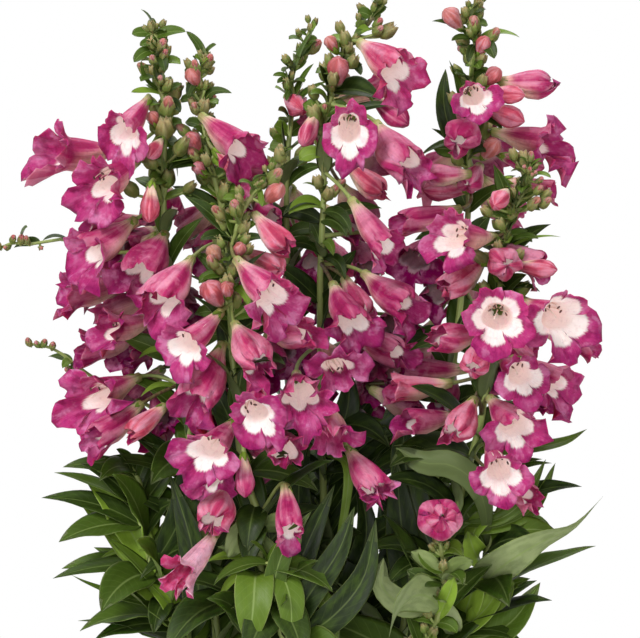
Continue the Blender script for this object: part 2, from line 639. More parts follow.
class Field:
    # a value, colour or vector of a node tree; sums, ramps and mixes of it are new nodes
    def __init__(self, tree, socket):
        self.tree, self.socket = tree, socket

    def math(self, operation, other):
        return wired(self.tree, "ShaderNodeMath", {0: self, 1: other}, operation=operation)

    def __add__(self, other):
        return self.math("ADD", other)

    def __sub__(self, other):
        return self.math("SUBTRACT", other)

    def __mul__(self, other):
        return self.math("MULTIPLY", other)

    def ramp(self, low, high, start=0.0, end=1.0):
        # a smooth step from start, where the value is low, to end, where it is high
        given = {"Value": self, "From Min": low, "From Max": high, "To Min": start, "To Max": end}
        return wired(self.tree, "ShaderNodeMapRange", given, interpolation_type="SMOOTHSTEP")

    def mix(self, a, b):
        # colour a where the value is 0, colour b where it is 1
        return wired(self.tree, "ShaderNodeMix", {0: self, 6: a, 7: b}, 2, data_type="RGBA")

    def noise(self, scale=1.0, detail=2.0, rough=0.5, stretch=(1, 1, 1), step=None):
        # the mottle group on this vector: its noise or, with a step, its mask
        given = {"Vector": self, "Stretch": stretch, "Scale": scale, "Detail": detail,
                 "Roughness": rough}
        given.update(zip(("From", "To", "Least", "Most"), step or ()))
        output = "Mask" if step else "Noise"
        return wired(self.tree, "ShaderNodeGroup", given, output, node_tree=mottle)


def wired(tree, kind, given, output=0, **settings):
    # a new node with these settings; given are its inputs: fields, colours, vectors or numbers
    node = tree.nodes.new(kind)
    for name, value in settings.items():
        setattr(node, name, value)
    for place, value in given.items():
        feed(node.inputs[place], value)
    return Field(tree, node.outputs[output])


def feed(socket, value):
    if isinstance(value, Field):
        value.tree.links.new(value.socket, socket)
    else:
        socket.default_value = (*value, 1) if socket.type == "RGBA" else value


def mottleGroup():
    # uneven growth, for every finish: noise on a stretched vector, and a mask that goes smoothly
    # from Least, where the noise is From, to Most, where it is To
    tree = bpy.data.node_groups.new("mottle", "ShaderNodeTree")
    for name, kind, value in (
        ("Vector", "Vector", (0, 0, 0)), ("Stretch", "Vector", (1, 1, 1)), ("Scale", "Float", 1.0),
        ("Detail", "Float", 2.0), ("Roughness", "Float", 0.5), ("From", "Float", 0.3),
        ("To", "Float", 0.7), ("Least", "Float", 0.0), ("Most", "Float", 1.0),
    ):
        socket = tree.interface.new_socket(name, in_out="INPUT", socket_type="NodeSocket" + kind)
        socket.default_value = value
    for name in ("Noise", "Mask"):
        tree.interface.new_socket(name, in_out="OUTPUT", socket_type="NodeSocketFloat")
    source = tree.nodes.new("NodeGroupInput").outputs
    given = {socket.name: Field(tree, socket) for socket in source if socket.name}
    factors = {0: given["Vector"], 1: given["Stretch"]}
    place = wired(tree, "ShaderNodeVectorMath", factors, operation="MULTIPLY")
    chosen = {name: given[name] for name in ("Scale", "Detail", "Roughness")}
    noise = wired(tree, "ShaderNodeTexNoise", {"Vector": place, **chosen})
    result = tree.nodes.new("NodeGroupOutput").inputs
    feed(result["Noise"], noise)
    feed(result["Mask"], noise.ramp(*(given[name] for name in ("From", "To", "Least", "Most"))))
    return tree


mottle = mottleGroup()


def pieceValues(tree):
    # the piece's own numbers: tint as four values, and fibre, the direction that its grain follows
    colour = wired(tree, "ShaderNodeAttribute", {}, "Color", attribute_name="tint")
    alpha = Field(tree, colour.socket.node.outputs["Alpha"])
    parts = wired(tree, "ShaderNodeSeparateColor", {0: colour}).socket.node.outputs
    fibre = wired(tree, "ShaderNodeAttribute", {}, "Vector", attribute_name="fibre")
    return (*(Field(tree, part) for part in parts[:3]), alpha), fibre


def objectPlace(tree):
    return wired(tree, "ShaderNodeTexCoord", {}, "Object")


def newMaterial(name, roughness, specular=0.5, subsurface=0.0, glow=(1.0, 0.4, 0.3), coat=0.0):
    material = bpy.data.materials.new(name)
    material.use_nodes = True
    shader = material.node_tree.nodes["Principled BSDF"].inputs
    for socket, value in (("Roughness", roughness), ("Specular IOR Level", specular),
                          ("Subsurface Weight", subsurface), ("Subsurface Radius", glow),
                          ("Subsurface Scale", 0.0010), ("Coat Weight", coat)):
        shader[socket].default_value = value
    return material, material.node_tree, shader


def bumped(shader, height, distance, strength):
    given = {"Height": height, "Distance": distance, "Strength": strength}
    feed(shader["Normal"], wired(height.tree, "ShaderNodeBump", given))


petalValues = {
    "coral": (0.64, 0.085, 0.13), "magenta": (0.47, 0.026, 0.14), "deep": (0.16, 0.001, 0.045),
    "lobeYoung": (0.58, 0.05, 0.17), "lobe": (0.46, 0.04, 0.185), "lobeDeep": (0.18, 0.001, 0.075),
    "cream": (0.87, 0.66, 0.48), "foot": (0.44, 0.48, 0.16), "sheen": (0.80, 0.40, 0.52),
    "green": (0.155, 0.215, 0.046), "budTip": (0.44, 0.40, 0.18), "white": (0.74, 0.66, 0.63),
    "throat": (0.74, 0.59, 0.54), "inside": (0.68, 0.52, 0.38), "lit": (0.90, 0.74, 0.72),
    "glint": (0.66, 0.27, 0.46), "flush": (0.70, 0.36, 0.44), "faded": (0.80, 0.46, 0.58),
    "glow": 0.28, "bump": (0.0006, 0.8),
}


def petalFinish():
    # tint: the way from the stalk to the lobe's edge, the wall (0 outer, 1 inner), the tone, and
    # how green the outer wall is or how far the white reaches out on the inner one
    c = petalValues
    material, tree, shader = newMaterial("petal", 0.52, 0.05, 0.35)
    (way, side, tone, pale), fibre = pieceValues(tree)
    below = wired(tree, "ShaderNodeSeparateXYZ", {0: fibre}, 1) * -1.0
    streak = fibre.noise(1.0, 3, stretch=(16, 16, 1.6))
    fine = fibre.noise(1.0, 2, stretch=(46, 46, 5))
    patch = fibre.noise(1.0, 3, stretch=(1.8, 1.8, 3))
    band = fibre.noise(1.0, 3, stretch=(1.7, 1.7, 1.3))
    place = objectPlace(tree)
    mottled, blotch = place.noise(420.0, 3, 0.6), place.noise(120.0, 3, 0.6)
    dusk, dawn = blotch.ramp(0.52, 0.66, 0.0, 0.50), blotch.ramp(0.34, 0.48, 0.50, 0.0)
    older, oldest = tone.ramp(0.0, 0.5), tone.ramp(0.5, 1.0)
    # outside: the colour of its age with a sheen, a pale belly, then a cream and green foot
    skin = oldest.mix(older.mix(c["coral"], c["magenta"]), c["deep"])
    shine = streak.ramp(0.40, 0.75) * 0.12 + band.ramp(0.40, 0.66, 0.0, 0.62)
    skin = (shine * tone.ramp(0.3, 0.95, 1.0, 0.25)).mix(skin, c["sheen"])
    skin = tone.ramp(-0.5, 0.0, 1.0, 0.0).mix(skin, c["faded"])
    belly = (below + streak * 0.7).ramp(0.15, 1.05) * way.ramp(0.30, 0.60, 1.0, 0.0)
    skin = (belly * tone.ramp(0.2, 1.0, 1.0, 0.4)).mix(skin, c["cream"])
    edge = way + (streak - 0.5) * 0.22
    skin = edge.ramp(0.06, 0.26, 0.85, 0.0).mix(skin, c["cream"])
    skin = edge.ramp(0.02, 0.14, 1.0, 0.0).mix(skin, c["foot"])
    skin = band.ramp(0.32, 0.50, 0.40, 0.0).mix(skin, c["deep"])
    skin = streak.ramp(0.50, 0.70, 0.0, 0.16).mix(skin, c["deep"])
    skin = (dusk * 0.5).mix(skin, c["deep"])
    skin = (dawn * 0.4).mix(skin, c["sheen"])
    skin = pale.mix(skin, edge.ramp(0.55, 1.05).mix(c["green"], c["budTip"]))
    # inside: the lobes, and the pale throat with its veins
    lobes = oldest.mix(older.mix(c["lobeYoung"], c["lobe"]), c["lobeDeep"])
    lobes = fine.ramp(0.35, 0.7, 0.0, 0.30).mix(lobes, c["deep"])
    lobes = patch.ramp(0.45, 0.75, 0.0, 0.40).mix(lobes, c["glint"])
    lobes = dawn.mix(dusk.mix(lobes, c["deep"]), c["glint"])
    lobes = (way + blotch * 0.2).ramp(0.98, 1.1, 0.0, 0.5).mix(lobes, c["lobeDeep"])
    throat = way.ramp(0.28, 0.56).mix(c["throat"], c["white"])
    throat = way.ramp(0.05, 0.22, 1.0, 0.0).mix(throat, c["inside"])
    throat = patch.ramp(0.5, 0.8, 0.0, 0.5).mix(throat, c["throat"])
    throat = streak.ramp(0.50, 0.72, 0.0, 0.26).mix(throat, c["flush"])
    throat = band.ramp(0.52, 0.70, 0.0, 0.40).mix(throat, c["flush"])
    throat = tone.ramp(0.78, 0.98, 0.0, 0.7).mix(throat, lobes)
    # the white ends in a feathered edge
    torn = (streak - 0.5) * 0.10 + (fine - 0.5) * 0.05
    inner = (pale + torn - way).ramp(-0.025, 0.035).mix(lobes, throat)
    colour = side.mix(skin, inner)
    feed(shader["Base Color"], mottled.ramp(0.5, 0.75, 0.0, 0.22).mix(colour, c["deep"]))
    # the thin wall lets a little light through to the throat
    glow = side * (pale - way).ramp(0.0, 0.05) * way.ramp(0.95, 0.45, 0.35, 1.0)
    glow = glow * tone.ramp(0.65, 0.85, 1.0, 0.0)
    feed(shader["Emission Color"], glow.mix((0.0, 0.0, 0.0), c["lit"]))
    shader["Emission Strength"].default_value = c["glow"]
    bumped(shader, blotch * 2.2 + patch * 1.2 + (fine + streak + mottled) * 0.4, *c["bump"])
    return material


leafValues = {
    "dark": (0.009, 0.018, 0.003), "mid": (0.060, 0.105, 0.011), "bright": (0.20, 0.31, 0.032),
    "under": (0.24, 0.29, 0.125), "shade": (0.10, 0.135, 0.045), "rib": (0.20, 0.27, 0.08),
    "margin": (0.32, 0.40, 0.12), "veins": 11.0, "slant": 2.1, "bump": (0.0002, 0.7),
}


def leafFinish():
    # tint: the way along, the way across (0.5 at the midrib), 1 on the underside, and the tone
    c = leafValues
    material, tree, shader = newMaterial("leaf", 0.42, 0.15, 0.05, (0.4, 0.8, 0.1))
    (along, across, below, tone), fibre = pieceValues(tree)
    grain = fibre.noise(1.0, 3, stretch=(0.30, 0.10, 1.0))
    away = ((across - 0.5) * 2.0).math("ABSOLUTE", 0.0)
    top = tone.ramp(0.5, 1.0).mix(tone.ramp(0.0, 0.5).mix(c["dark"], c["mid"]), c["bright"])
    top = grain.ramp(0.4, 0.75, 0.0, 0.4).mix(top, c["mid"])
    low = tone.ramp(0.0, 0.42).mix(c["shade"], c["under"])
    low = tone.ramp(0.4, 1.0, 0.0, 0.7).mix(low, c["bright"])
    low = grain.ramp(0.38, 0.66, 0.0, 0.45).mix(low, c["shade"])
    colour = below.mix(top, low)
    # side veins leave the midrib at a slant
    slant = along * c["veins"] - away * c["slant"]
    vein = (slant.math("FRACT", 0.0) - 0.5).math("ABSOLUTE", 0.0)
    light = tone.ramp(0.0, 0.5, 0.35, 1.0)
    vein = vein.ramp(0.0, 0.12, 0.12, 0.0) * light
    colour = vein.mix(colour, c["rib"])
    colour = (away.ramp(0.02, 0.08, 0.75, 0.0) * light).mix(colour, c["rib"])
    colour = (away.ramp(0.93, 0.99, 0.0, 0.7) * light).mix(colour, c["margin"])
    feed(shader["Base Color"], colour)
    feed(shader["Roughness"], grain.ramp(0.3, 0.7, 0.34, 0.50))
    bumped(shader, fibre.noise(2.2) * 0.5 + vein * -1.5, *c["bump"])
    return material


stalkValues = {"green": (0.175, 0.225, 0.055), "light": (0.36, 0.42, 0.13),
               "purple": (0.085, 0.035, 0.022), "bump": (0.0002, 0.6)}


def stalkFinish():
    # tint: the shares of purple and of light green
    c = stalkValues
    material, tree, shader = newMaterial("stalk", 0.5, 0.4, 0.05, (0.5, 0.8, 0.2))
    (purple, light, *_), _ = pieceValues(tree)
    place = objectPlace(tree)
    grain = place.noise(stretch=(600, 600, 60))
    share = purple + (place.noise(60.0, 3) - 0.5) * 0.9
    colour = share.ramp(0.3, 0.8).mix(light.mix(c["green"], c["light"]), c["purple"])
    feed(shader["Base Color"], grain.ramp(0.4, 0.7, 0.0, 0.25).mix(colour, c["light"]))
    bumped(shader, grain, *c["bump"])
    return material


threadValues = {"dark": (0.74, 0.50, 0.42), "light": (0.86, 0.76, 0.66), "roughness": 0.5,
                "scale": 300.0}
antherValues = {"dark": (0.045, 0.012, 0.014), "light": (0.16, 0.07, 0.05), "roughness": 0.6,
                "scale": 900.0}


def plainFinish(name, c):
    material, tree, shader = newMaterial(name, c["roughness"])
    mask = objectPlace(tree).noise(c["scale"], 3, step=(0.35, 0.65))
    feed(shader["Base Color"], mask.mix(c["dark"], c["light"]))
    return material


glazeValues = {
    "dark": (0.835, 0.828, 0.80), "light": (0.87, 0.865, 0.84), "speck": (0.42, 0.37, 0.30),
    "specks": 260, "roughness": (0.21, 0.25), "bump": (0.0006, 0.35), "coat": 0.4,
}


def glazeFinish():
    # off-white glaze, a little uneven, with fine specks
    c = glazeValues
    material, tree, shader = newMaterial("glaze", 0.22, coat=c["coat"])
    place = objectPlace(tree)
    colour = place.noise(14.0, 4, step=(0.3, 0.7)).mix(c["dark"], c["light"])
    given = {"Vector": place, "Scale": c["specks"]}
    speck = wired(tree, "ShaderNodeTexVoronoi", given, "Distance", feature="F1")
    dots = speck.ramp(0.10, 0.17, 1.0, 0.0) * place.noise(90.0, 1, step=(0.55, 0.65))
    feed(shader["Base Color"], (dots * 0.45).mix(colour, c["speck"]))
    feed(shader["Roughness"], place.noise(14.0, 4, step=(0.3, 0.7, *c["roughness"])))
    bumped(shader, place.noise(55.0), *c["bump"])
    return material


finishes.update(petal=petalFinish(), leaf=leafFinish(), stalk=stalkFinish(), glaze=glazeFinish(),
                thread=plainFinish("thread", threadValues),
                anther=plainFinish("anther", antherValues))
print("scene: finishes made")


# The lines of stems and shoots
stemNames = [name for name in nodes if name.startswith("stem_")]
lines = {name: centreLine(name) for name in nodes if name.startswith(("stem_", "leafy_"))}
for name in nodes:
    if name.startswith("side_shoot"):
        lines[name] = centreLine(name, axis=0, fromHighest=True, reach=4.0)
print("scene: stem lines read")


def nearestStem(points):
    # the spot on a stem that comes closest to these points
    spots = np.vstack([lines[name] for name in stemNames])
    return spots[np.linalg.norm(points[:, None] - spots[None], axis=2).min(0).argmin()]


# Looks of the flowers of each cyme, the highest mouth first: the stage, how old it is (0 coral,
# 1 magenta, 2 deep, below 0 faded), how far the white of the throat reaches out, and what
# differs from the stage
cymeLooks = {
    "left_1": (("face", 0.9, 0.62, dict(wide=0.74, tall=1.26, hood=50)),
        ("open", 1.1, 0.46, dict(size=1.25, lean=0.18, lobe=0.92, ruffle=3.4, hood=10)),
        ("lips", 0.1, 0.4), ("open", 1.0, 0.5, dict(size=1.25, lean=0.15, ruffle=3.0))),
    "left_2": (("open", 1.3, 0.58, dict(size=1.3)), ("lips", 0.05, 0.4),
        ("open", 1.2, 0.5, dict(size=1.3))),
    "left_3": (("bell", 1.4, 0.42, dict(size=1.3)),
        ("open", 1.37, 0.47, dict(size=1.35, hood=-10))),
    "left_4": (("open", 1.3, 0.5, dict(hood=70)), ("bell", 1.37, 0.5)),
    "left_5": (("open", 1.0, 0.46, dict(hood=-12, ruffle=2.8, size=1.35, lean=0.35)),
        ("pout", 0.15, 0.4), ("bell", 1.2, 0.46)),
    "back_left_1": (("open", 1.2, 0.5, dict(size=1.3)), ("bell", 1.44, 0.46), ("lips", 0.2, 0.4)),
    "back_left_2": (("bell", 0.9, 0.48, dict(size=1.3)),),
    "front_1": (("lips", 0.4, 0.4), ("lips", 0.3, 0.4),
        ("open", 0.9, 0.55, dict(hood=70, ruffle=2.8))),
    "front_2": (("pout", 0.8, 0.5), ("face", 1.1, 0.62, dict(wide=0.9, tall=1.0, size=1.0)),
        ("pout", 0.7, 0.4)),
    "front_3": (("bell", 1.1, 0.46, dict(size=1.4, ruffle=3.2)),
        ("face", 1.35, 0.62, dict(wide=0.86, tall=1.1, roll=50))),
    "front_4": (("face", 1.3, 0.62, dict(hood=60, roll=-25)),
        ("pout", 1.2, 0.5, dict(ruffle=3.2, end=6, size=1.2, throat=0.5)), ("lips", 0.9, 0.4)),
    "front_5": (("open", 1.1, 0.48, dict(size=1.5, ruffle=2.8)),
        ("pout", 0.6, 0.4, dict(size=1.45))),
    "front_6": (("bell", 1.2, 0.56),
        ("bell", -0.7, 0.34, dict(size=1.1, end=20, hood=-46, lobe=1.05, reflex=22, tube=0.84,
         throat=0.42, notch=0.2))),
    "centre_1": (("open", 0.6, 0.54, dict(wide=0.9, tall=1.15, ruffle=3.0)),),
    "centre_2": (("lips", 0.9, 0.4), ("face", 1.1, 0.64, dict(wide=0.8, tall=1.2, hood=40)),
        ("pout", 0.5, 0.5), ("bell", 1.2, 0.5, dict(size=1.3))),
    "centre_3": (("lips", 0.3, 0.4), ("open", 1.2, 0.6, dict(size=1.1))),
    "centre_4": (("bell", 1.4, 0.46), ("pout", 0.7, 0.4), ("open", 1.4, 0.55, dict(hood=70))),
    "centre_5": (("bell", 1.4, 0.46), ("open", 1.3, 0.5, dict(roll=180, hood=30)),
        ("bell", 1.15, 0.43, dict(size=1.35, end=44, ruffle=3.4, throat=0.44, hood=16))),
    "centre_6": (("bell", 1.1, 0.48, dict(roll=170, size=1.4, end=40, ruffle=3.4, throat=0.48)),
        ("bell", 1.1, 0.42, dict(size=0.98, ruffle=4.0, end=2, notch=0.5))),
    "back_right_1": (("lips", 0.9, 0.4, dict(size=1.4, reflex=8)), ("lips", 0.1, 0.4),
        ("face", 1.1, 0.64, dict(hood=110, size=1.0))),
    "back_right_2": (("lips", 0.25, 0.4),
        ("open", 1.2, 0.4, dict(size=1.2, lean=0.12, ruffle=3.4, reflex=40)),
        ("lips", 1.3, 0.4, dict(size=1.3)), ("lips", 1.3, 0.4)),
    "back_right_3": (("lips", 0.8, 0.4), ("lips", 0.6, 0.4), ("bell", 1.44, 0.46)),
    "right_1": (("lips", 0.25, 0.4), ("face", 1.1, 0.62, dict(ruffle=2.2, reflex=40, roll=20)),
        ("lips", 0.6, 0.4, dict(size=1.4)), ("pout", 0.5, 0.4)),
    "right_2": (("lips", 0.3, 0.4), ("face", 1.15, 0.67, dict(hood=24, brow=-0.02)),
        ("face", 1.15, 0.67, dict(hood=40, brow=-0.04, size=1.04))),
    "right_3": (("pout", 0.8, 0.4), ("pout", 0.5, 0.4),
        ("face", 1.3, 0.64, dict(hood=60, tall=1.12, size=0.98)),
        ("open", 1.0, 0.5, dict(hood=70))),
    "right_4": (("bell", 1.47, 0.46), ("bell", 0.5, 0.46), ("bell", 1.54, 0.46)),
    "right_5": (("open", 1.1, 0.62, dict(hood=60)), ("pout", 0.5, 0.4)),
    "right_6": (("face", 1.2, 0.66, dict(wide=0.92, tall=1.02, hood=50, size=1.02)),
        ("bell", 0.7, 0.46)),
    "short_1": (
        ("lips", 1.1, 0.34, dict(size=1.08, throat=0.98, end=-100, lobe=1.2, widen=0.9,
         ruffle=5.0, reflex=40, notch=0.62, crease=0.05)),),
}
# how long the longest corolla is and how fast the others come near it, the radius from which a bud
# is open, the one from which a flower is past its youth or old, and how far it gapes to show its
# threads; a bud's flat end is smaller than the bud, and the stalk's thickness goes by its length
flowerValues = {"longest": 38.0, "opening": 5.5, "bud": 6.6, "young": 8.6, "old": 9, "gape": 50,
                "cap": 6, "capShare": 0.6, "stalk": ((0, 0.2, 0.85, 1), (1.3, 0.95, 0.95, 1.7))}
mouths = []


def lookOf(node, number, radius, rng):
    # the draws come before the table is read, so that a row changes no other flower
    kinds = ("lips",) if radius < flowerValues["young"] else ("open", "bell", "pout")
    kind = kinds[rng.integers(len(kinds))]
    tone = rng.uniform(1.2, 1.9) if radius > flowerValues["old"] else rng.uniform(0.3, 1.2)
    row = (kind, tone, rng.uniform(0.44, 0.50))
    rows = cymeLooks.get(node.removeprefix("cyme_"), ())
    kind, tone, white, *changes = rows[number] if number < len(rows) else row
    return newLook(kind, tone, white, 14, changes[0] if changes else {}, rng)


def flowerParts(mouth, along, radius, look, knot, spot, rng):
    # corolla or bud, calyx, threads and the stalk that comes from the knot of the cyme
    g = flowerValues
    mouths.append((*mouth, radius))
    length = g["longest"] * (1 - math.exp(-radius / g["opening"]))
    base = mouth - along * length
    if radius > g["bud"]:
        bloom, right, up = corollaPart(base, along, radius * look["size"], length, look, rng)
    else:
        right, up = squareTo(along)
        bloom = budPart(mouth, along, radius, length, look["tone"], 0.0, rng)
    parts = [bloom] + calyxParts(base, along, radius, right, up, rng)
    if radius > g["young"] and look["end"] > g["gape"]:
        parts += stamenParts(base, along, radius, length, right, up, rng)
    bow = base - along * 0.4 * np.linalg.norm(base - knot)
    stalk = bezier(spot + (knot - spot) * 0.3, bow, base + along * 0.6, 10)
    thick = np.interp(np.linspace(0, 1, 10), *g["stalk"])
    return parts + [rod(stalk, thick, 8, (rng.uniform(0.1, 0.9), 0.3, 0, 0), "stalk")]


for order, node in enumerate(sorted(name for name in nodes if name.startswith("cyme_"))):
    rng = np.random.default_rng(100 + order)
    corners = nodeCorners(node).reshape(-1, 3)
    spot = nearestStem(corners)
    knot = corners[np.linalg.norm(corners - spot, axis=1).argmin()]
    parts = []
    for number, (mouth, along, radius) in enumerate(flowerMouths(node)):
        if radius <= flowerValues["cap"]:
            radius /= flowerValues["capShare"]
        look = lookOf(node, number, radius, rng)
        parts += flowerParts(mouth, along, radius, look, knot, spot, rng)
    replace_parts(makePiece(node + "_flowers", parts), node)
print("scene: cymes made,", len(mouths), "flowers")

# More flowers of each stem, deep among the others: the height they leave it at, where the mouth is
# from there (right, back, up), heading, droop, radius, kind, tone and white
innerFlowers = {
    "stem_left": ((392, -40, 12, -14, -60, 15, 9, "bell", 1.9, 0.47),
        (362, -24, 14, -16, -30, 20, 10, "bell", 1.9, 0.47),
        (366, -12, 16, -14, 20, 30, 9, "bell", 1.7, 0.47),
        (424, -8, 12, -12, -10, 40, 8, "lips", 1.6, 0.47),
        (424, 5, -2, -8, 10, 30, 7.5, "lips", 1.4, 0.47),
        (330, -9, -2, -16, 10, 40, 9, "bell", 1.9, 0.47),
        (410, -22, 18, -10, -30, 20, 10, "bell", 1.6, 0.47),
        (340, -26, 12, -16, -40, 30, 9, "bell", 1.9, 0.47),
        (356, -22, 16, -10, -50, 25, 10, "bell", 1.8, 0.47),
        (318, -16, 14, -14, -30, 35, 9, "bell", 1.8, 0.47),
        (376, 10, 18, -10, 30, 30, 9, "bell", 1.8, 0.47)),
    "stem_back_left": ((432, 21, -12, -10, 30, 30, 8.5, "bell", 1.5, 0.47),
        (412, -12, 2, -14, -20, 30, 9, "bell", 1.7, 0.47),
        (392, 0, -8, -14, 10, 25, 10, "bell", 1.8, 0.47),
        (374, 4, -12, -14, -20, 20, 11, "open", 1.9, 0.52),
        (336, -14, -12, -16, -10, 40, 10, "bell", 1.9, 0.47)),
    "stem_thin": ((474, 5, -12, -4, 20, 20, 6.0, "lips", 0.2, 0.47),
        (404, 12, -22, -12, -20, 30, 10, "bell", 1.7, 0.47),
        (386, 20, -20, -14, 15, 30, 11, "bell", 1.8, 0.47),
        (360, -6, -36, -14, 10, 15, 11, "open", 1.9, 0.52),
        (342, 14, -24, -14, 5, 35, 10, "bell", 1.8, 0.47)),
    "stem_centre": ((406, 46, 8, -12, -20, 20, 12, "open", 1.9, 0.52),
        (372, 38, 6, -12, -10, 25, 12, "bell", 1.9, 0.47),
        (366, 20, 6, -14, -30, 20, 11, "bell", 1.9, 0.47),
        (342, 27, 4, -12, 0, 40, 9, "bell", 1.9, 0.47),
        (420, 16, 14, -10, 30, 20, 10, "bell", 1.6, 0.47),
        (352, -6, 10, -10, -20, 30, 9, "bell", 1.8, 0.47),
        (346, 38, 10, -10, 30, 30, 9, "bell", 1.8, 0.47),
        (330, 24, 8, -12, 10, 40, 9, "bell", 1.8, 0.47),
        (400, 26, 14, -10, 20, 30, 10, "bell", 1.8, 0.47)),
    "stem_back_right": ((440, -3, -20, -10, -20, 25, 7, "lips", 0.9, 0.47),
        (330, -14, -14, -12, 60, 20, 10, "bell", 1.9, 0.47),
        (354, 18, -8, -14, 10, 30, 10, "bell", 1.9, 0.47),
        (470, 10, 16, -8, 40, 20, 9, "bell", 1.5, 0.47),
        (386, -16, -6, -10, -30, 25, 10, "bell", 1.8, 0.47),
        (334, -4, -12, -12, -10, 30, 9, "bell", 1.7, 0.47)),
    "stem_right": ((424, 18, 4, 5, 80, 10, 6.8, "open", 0.6, 0.58),
        (356, 50, 6, -6, 80, 20, 8, "bell", 1.1, 0.47),
        (344, 28, 8, -20, 50, 35, 9, "bell", 1.7, 0.47),
        (362, 20, 8, -16, 70, 50, 8, "bell", 1.0, 0.47),
        (400, 18, -4, -8, 70, 20, 10, "bell", 0.9, 0.47)),
    "stem_short": ((250, -1, -25, 20, -5, -6, 8.8, "lips", 0.7, 0.36),),
    "stem_front": ((304, 12, 8, -10, 20, 30, 8, "bell", 1.2, 0.47),
        (352, 22, 6, -12, 10, 30, 10, "bell", 1.9, 0.47),
        (420, 14, 16, -8, 20, 20, 9, "bell", 1.6, 0.47)),
}
for order, (name, rows) in enumerate(innerFlowers.items()):
    rng = np.random.default_rng(300 + order)
    parts = []
    for height, *shift, heading, droop, radius, kind, tone, white in rows:
        spot = pointAt(lines[name], height)
        look = newLook(kind, tone, white, 20, {}, rng)
        mouth = spot + np.array(shift)
        parts += flowerParts(mouth, aim(heading, droop), radius, look, spot, spot, rng)
    makePiece(name + "_inner_flowers", parts)
print("scene: inner flowers made")


# The stems, from foot to tip
stemValues = {"foot": 2.9, "tip": 1.2, "sides": 12, "flutes": 0.05, "light": 0.35}
for name in stemNames:
    line = lines[name]
    height = (line[:, 2] - line[0, 2]) / np.ptp(line[:, 2])
    thick = np.interp(height, (0, 1), (stemValues["foot"], stemValues["tip"]))
    tint = layers(np.interp(height, (0, 0.6, 1), (0.0, 0.25, 0.5)), stemValues["light"], 0, 0)
    stalk = rod(line, thick, stemValues["sides"], tint, "stalk", stemValues["flutes"])
    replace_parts(makePiece(name + "_stalk", [stalk]), name)
print("scene: stems made")


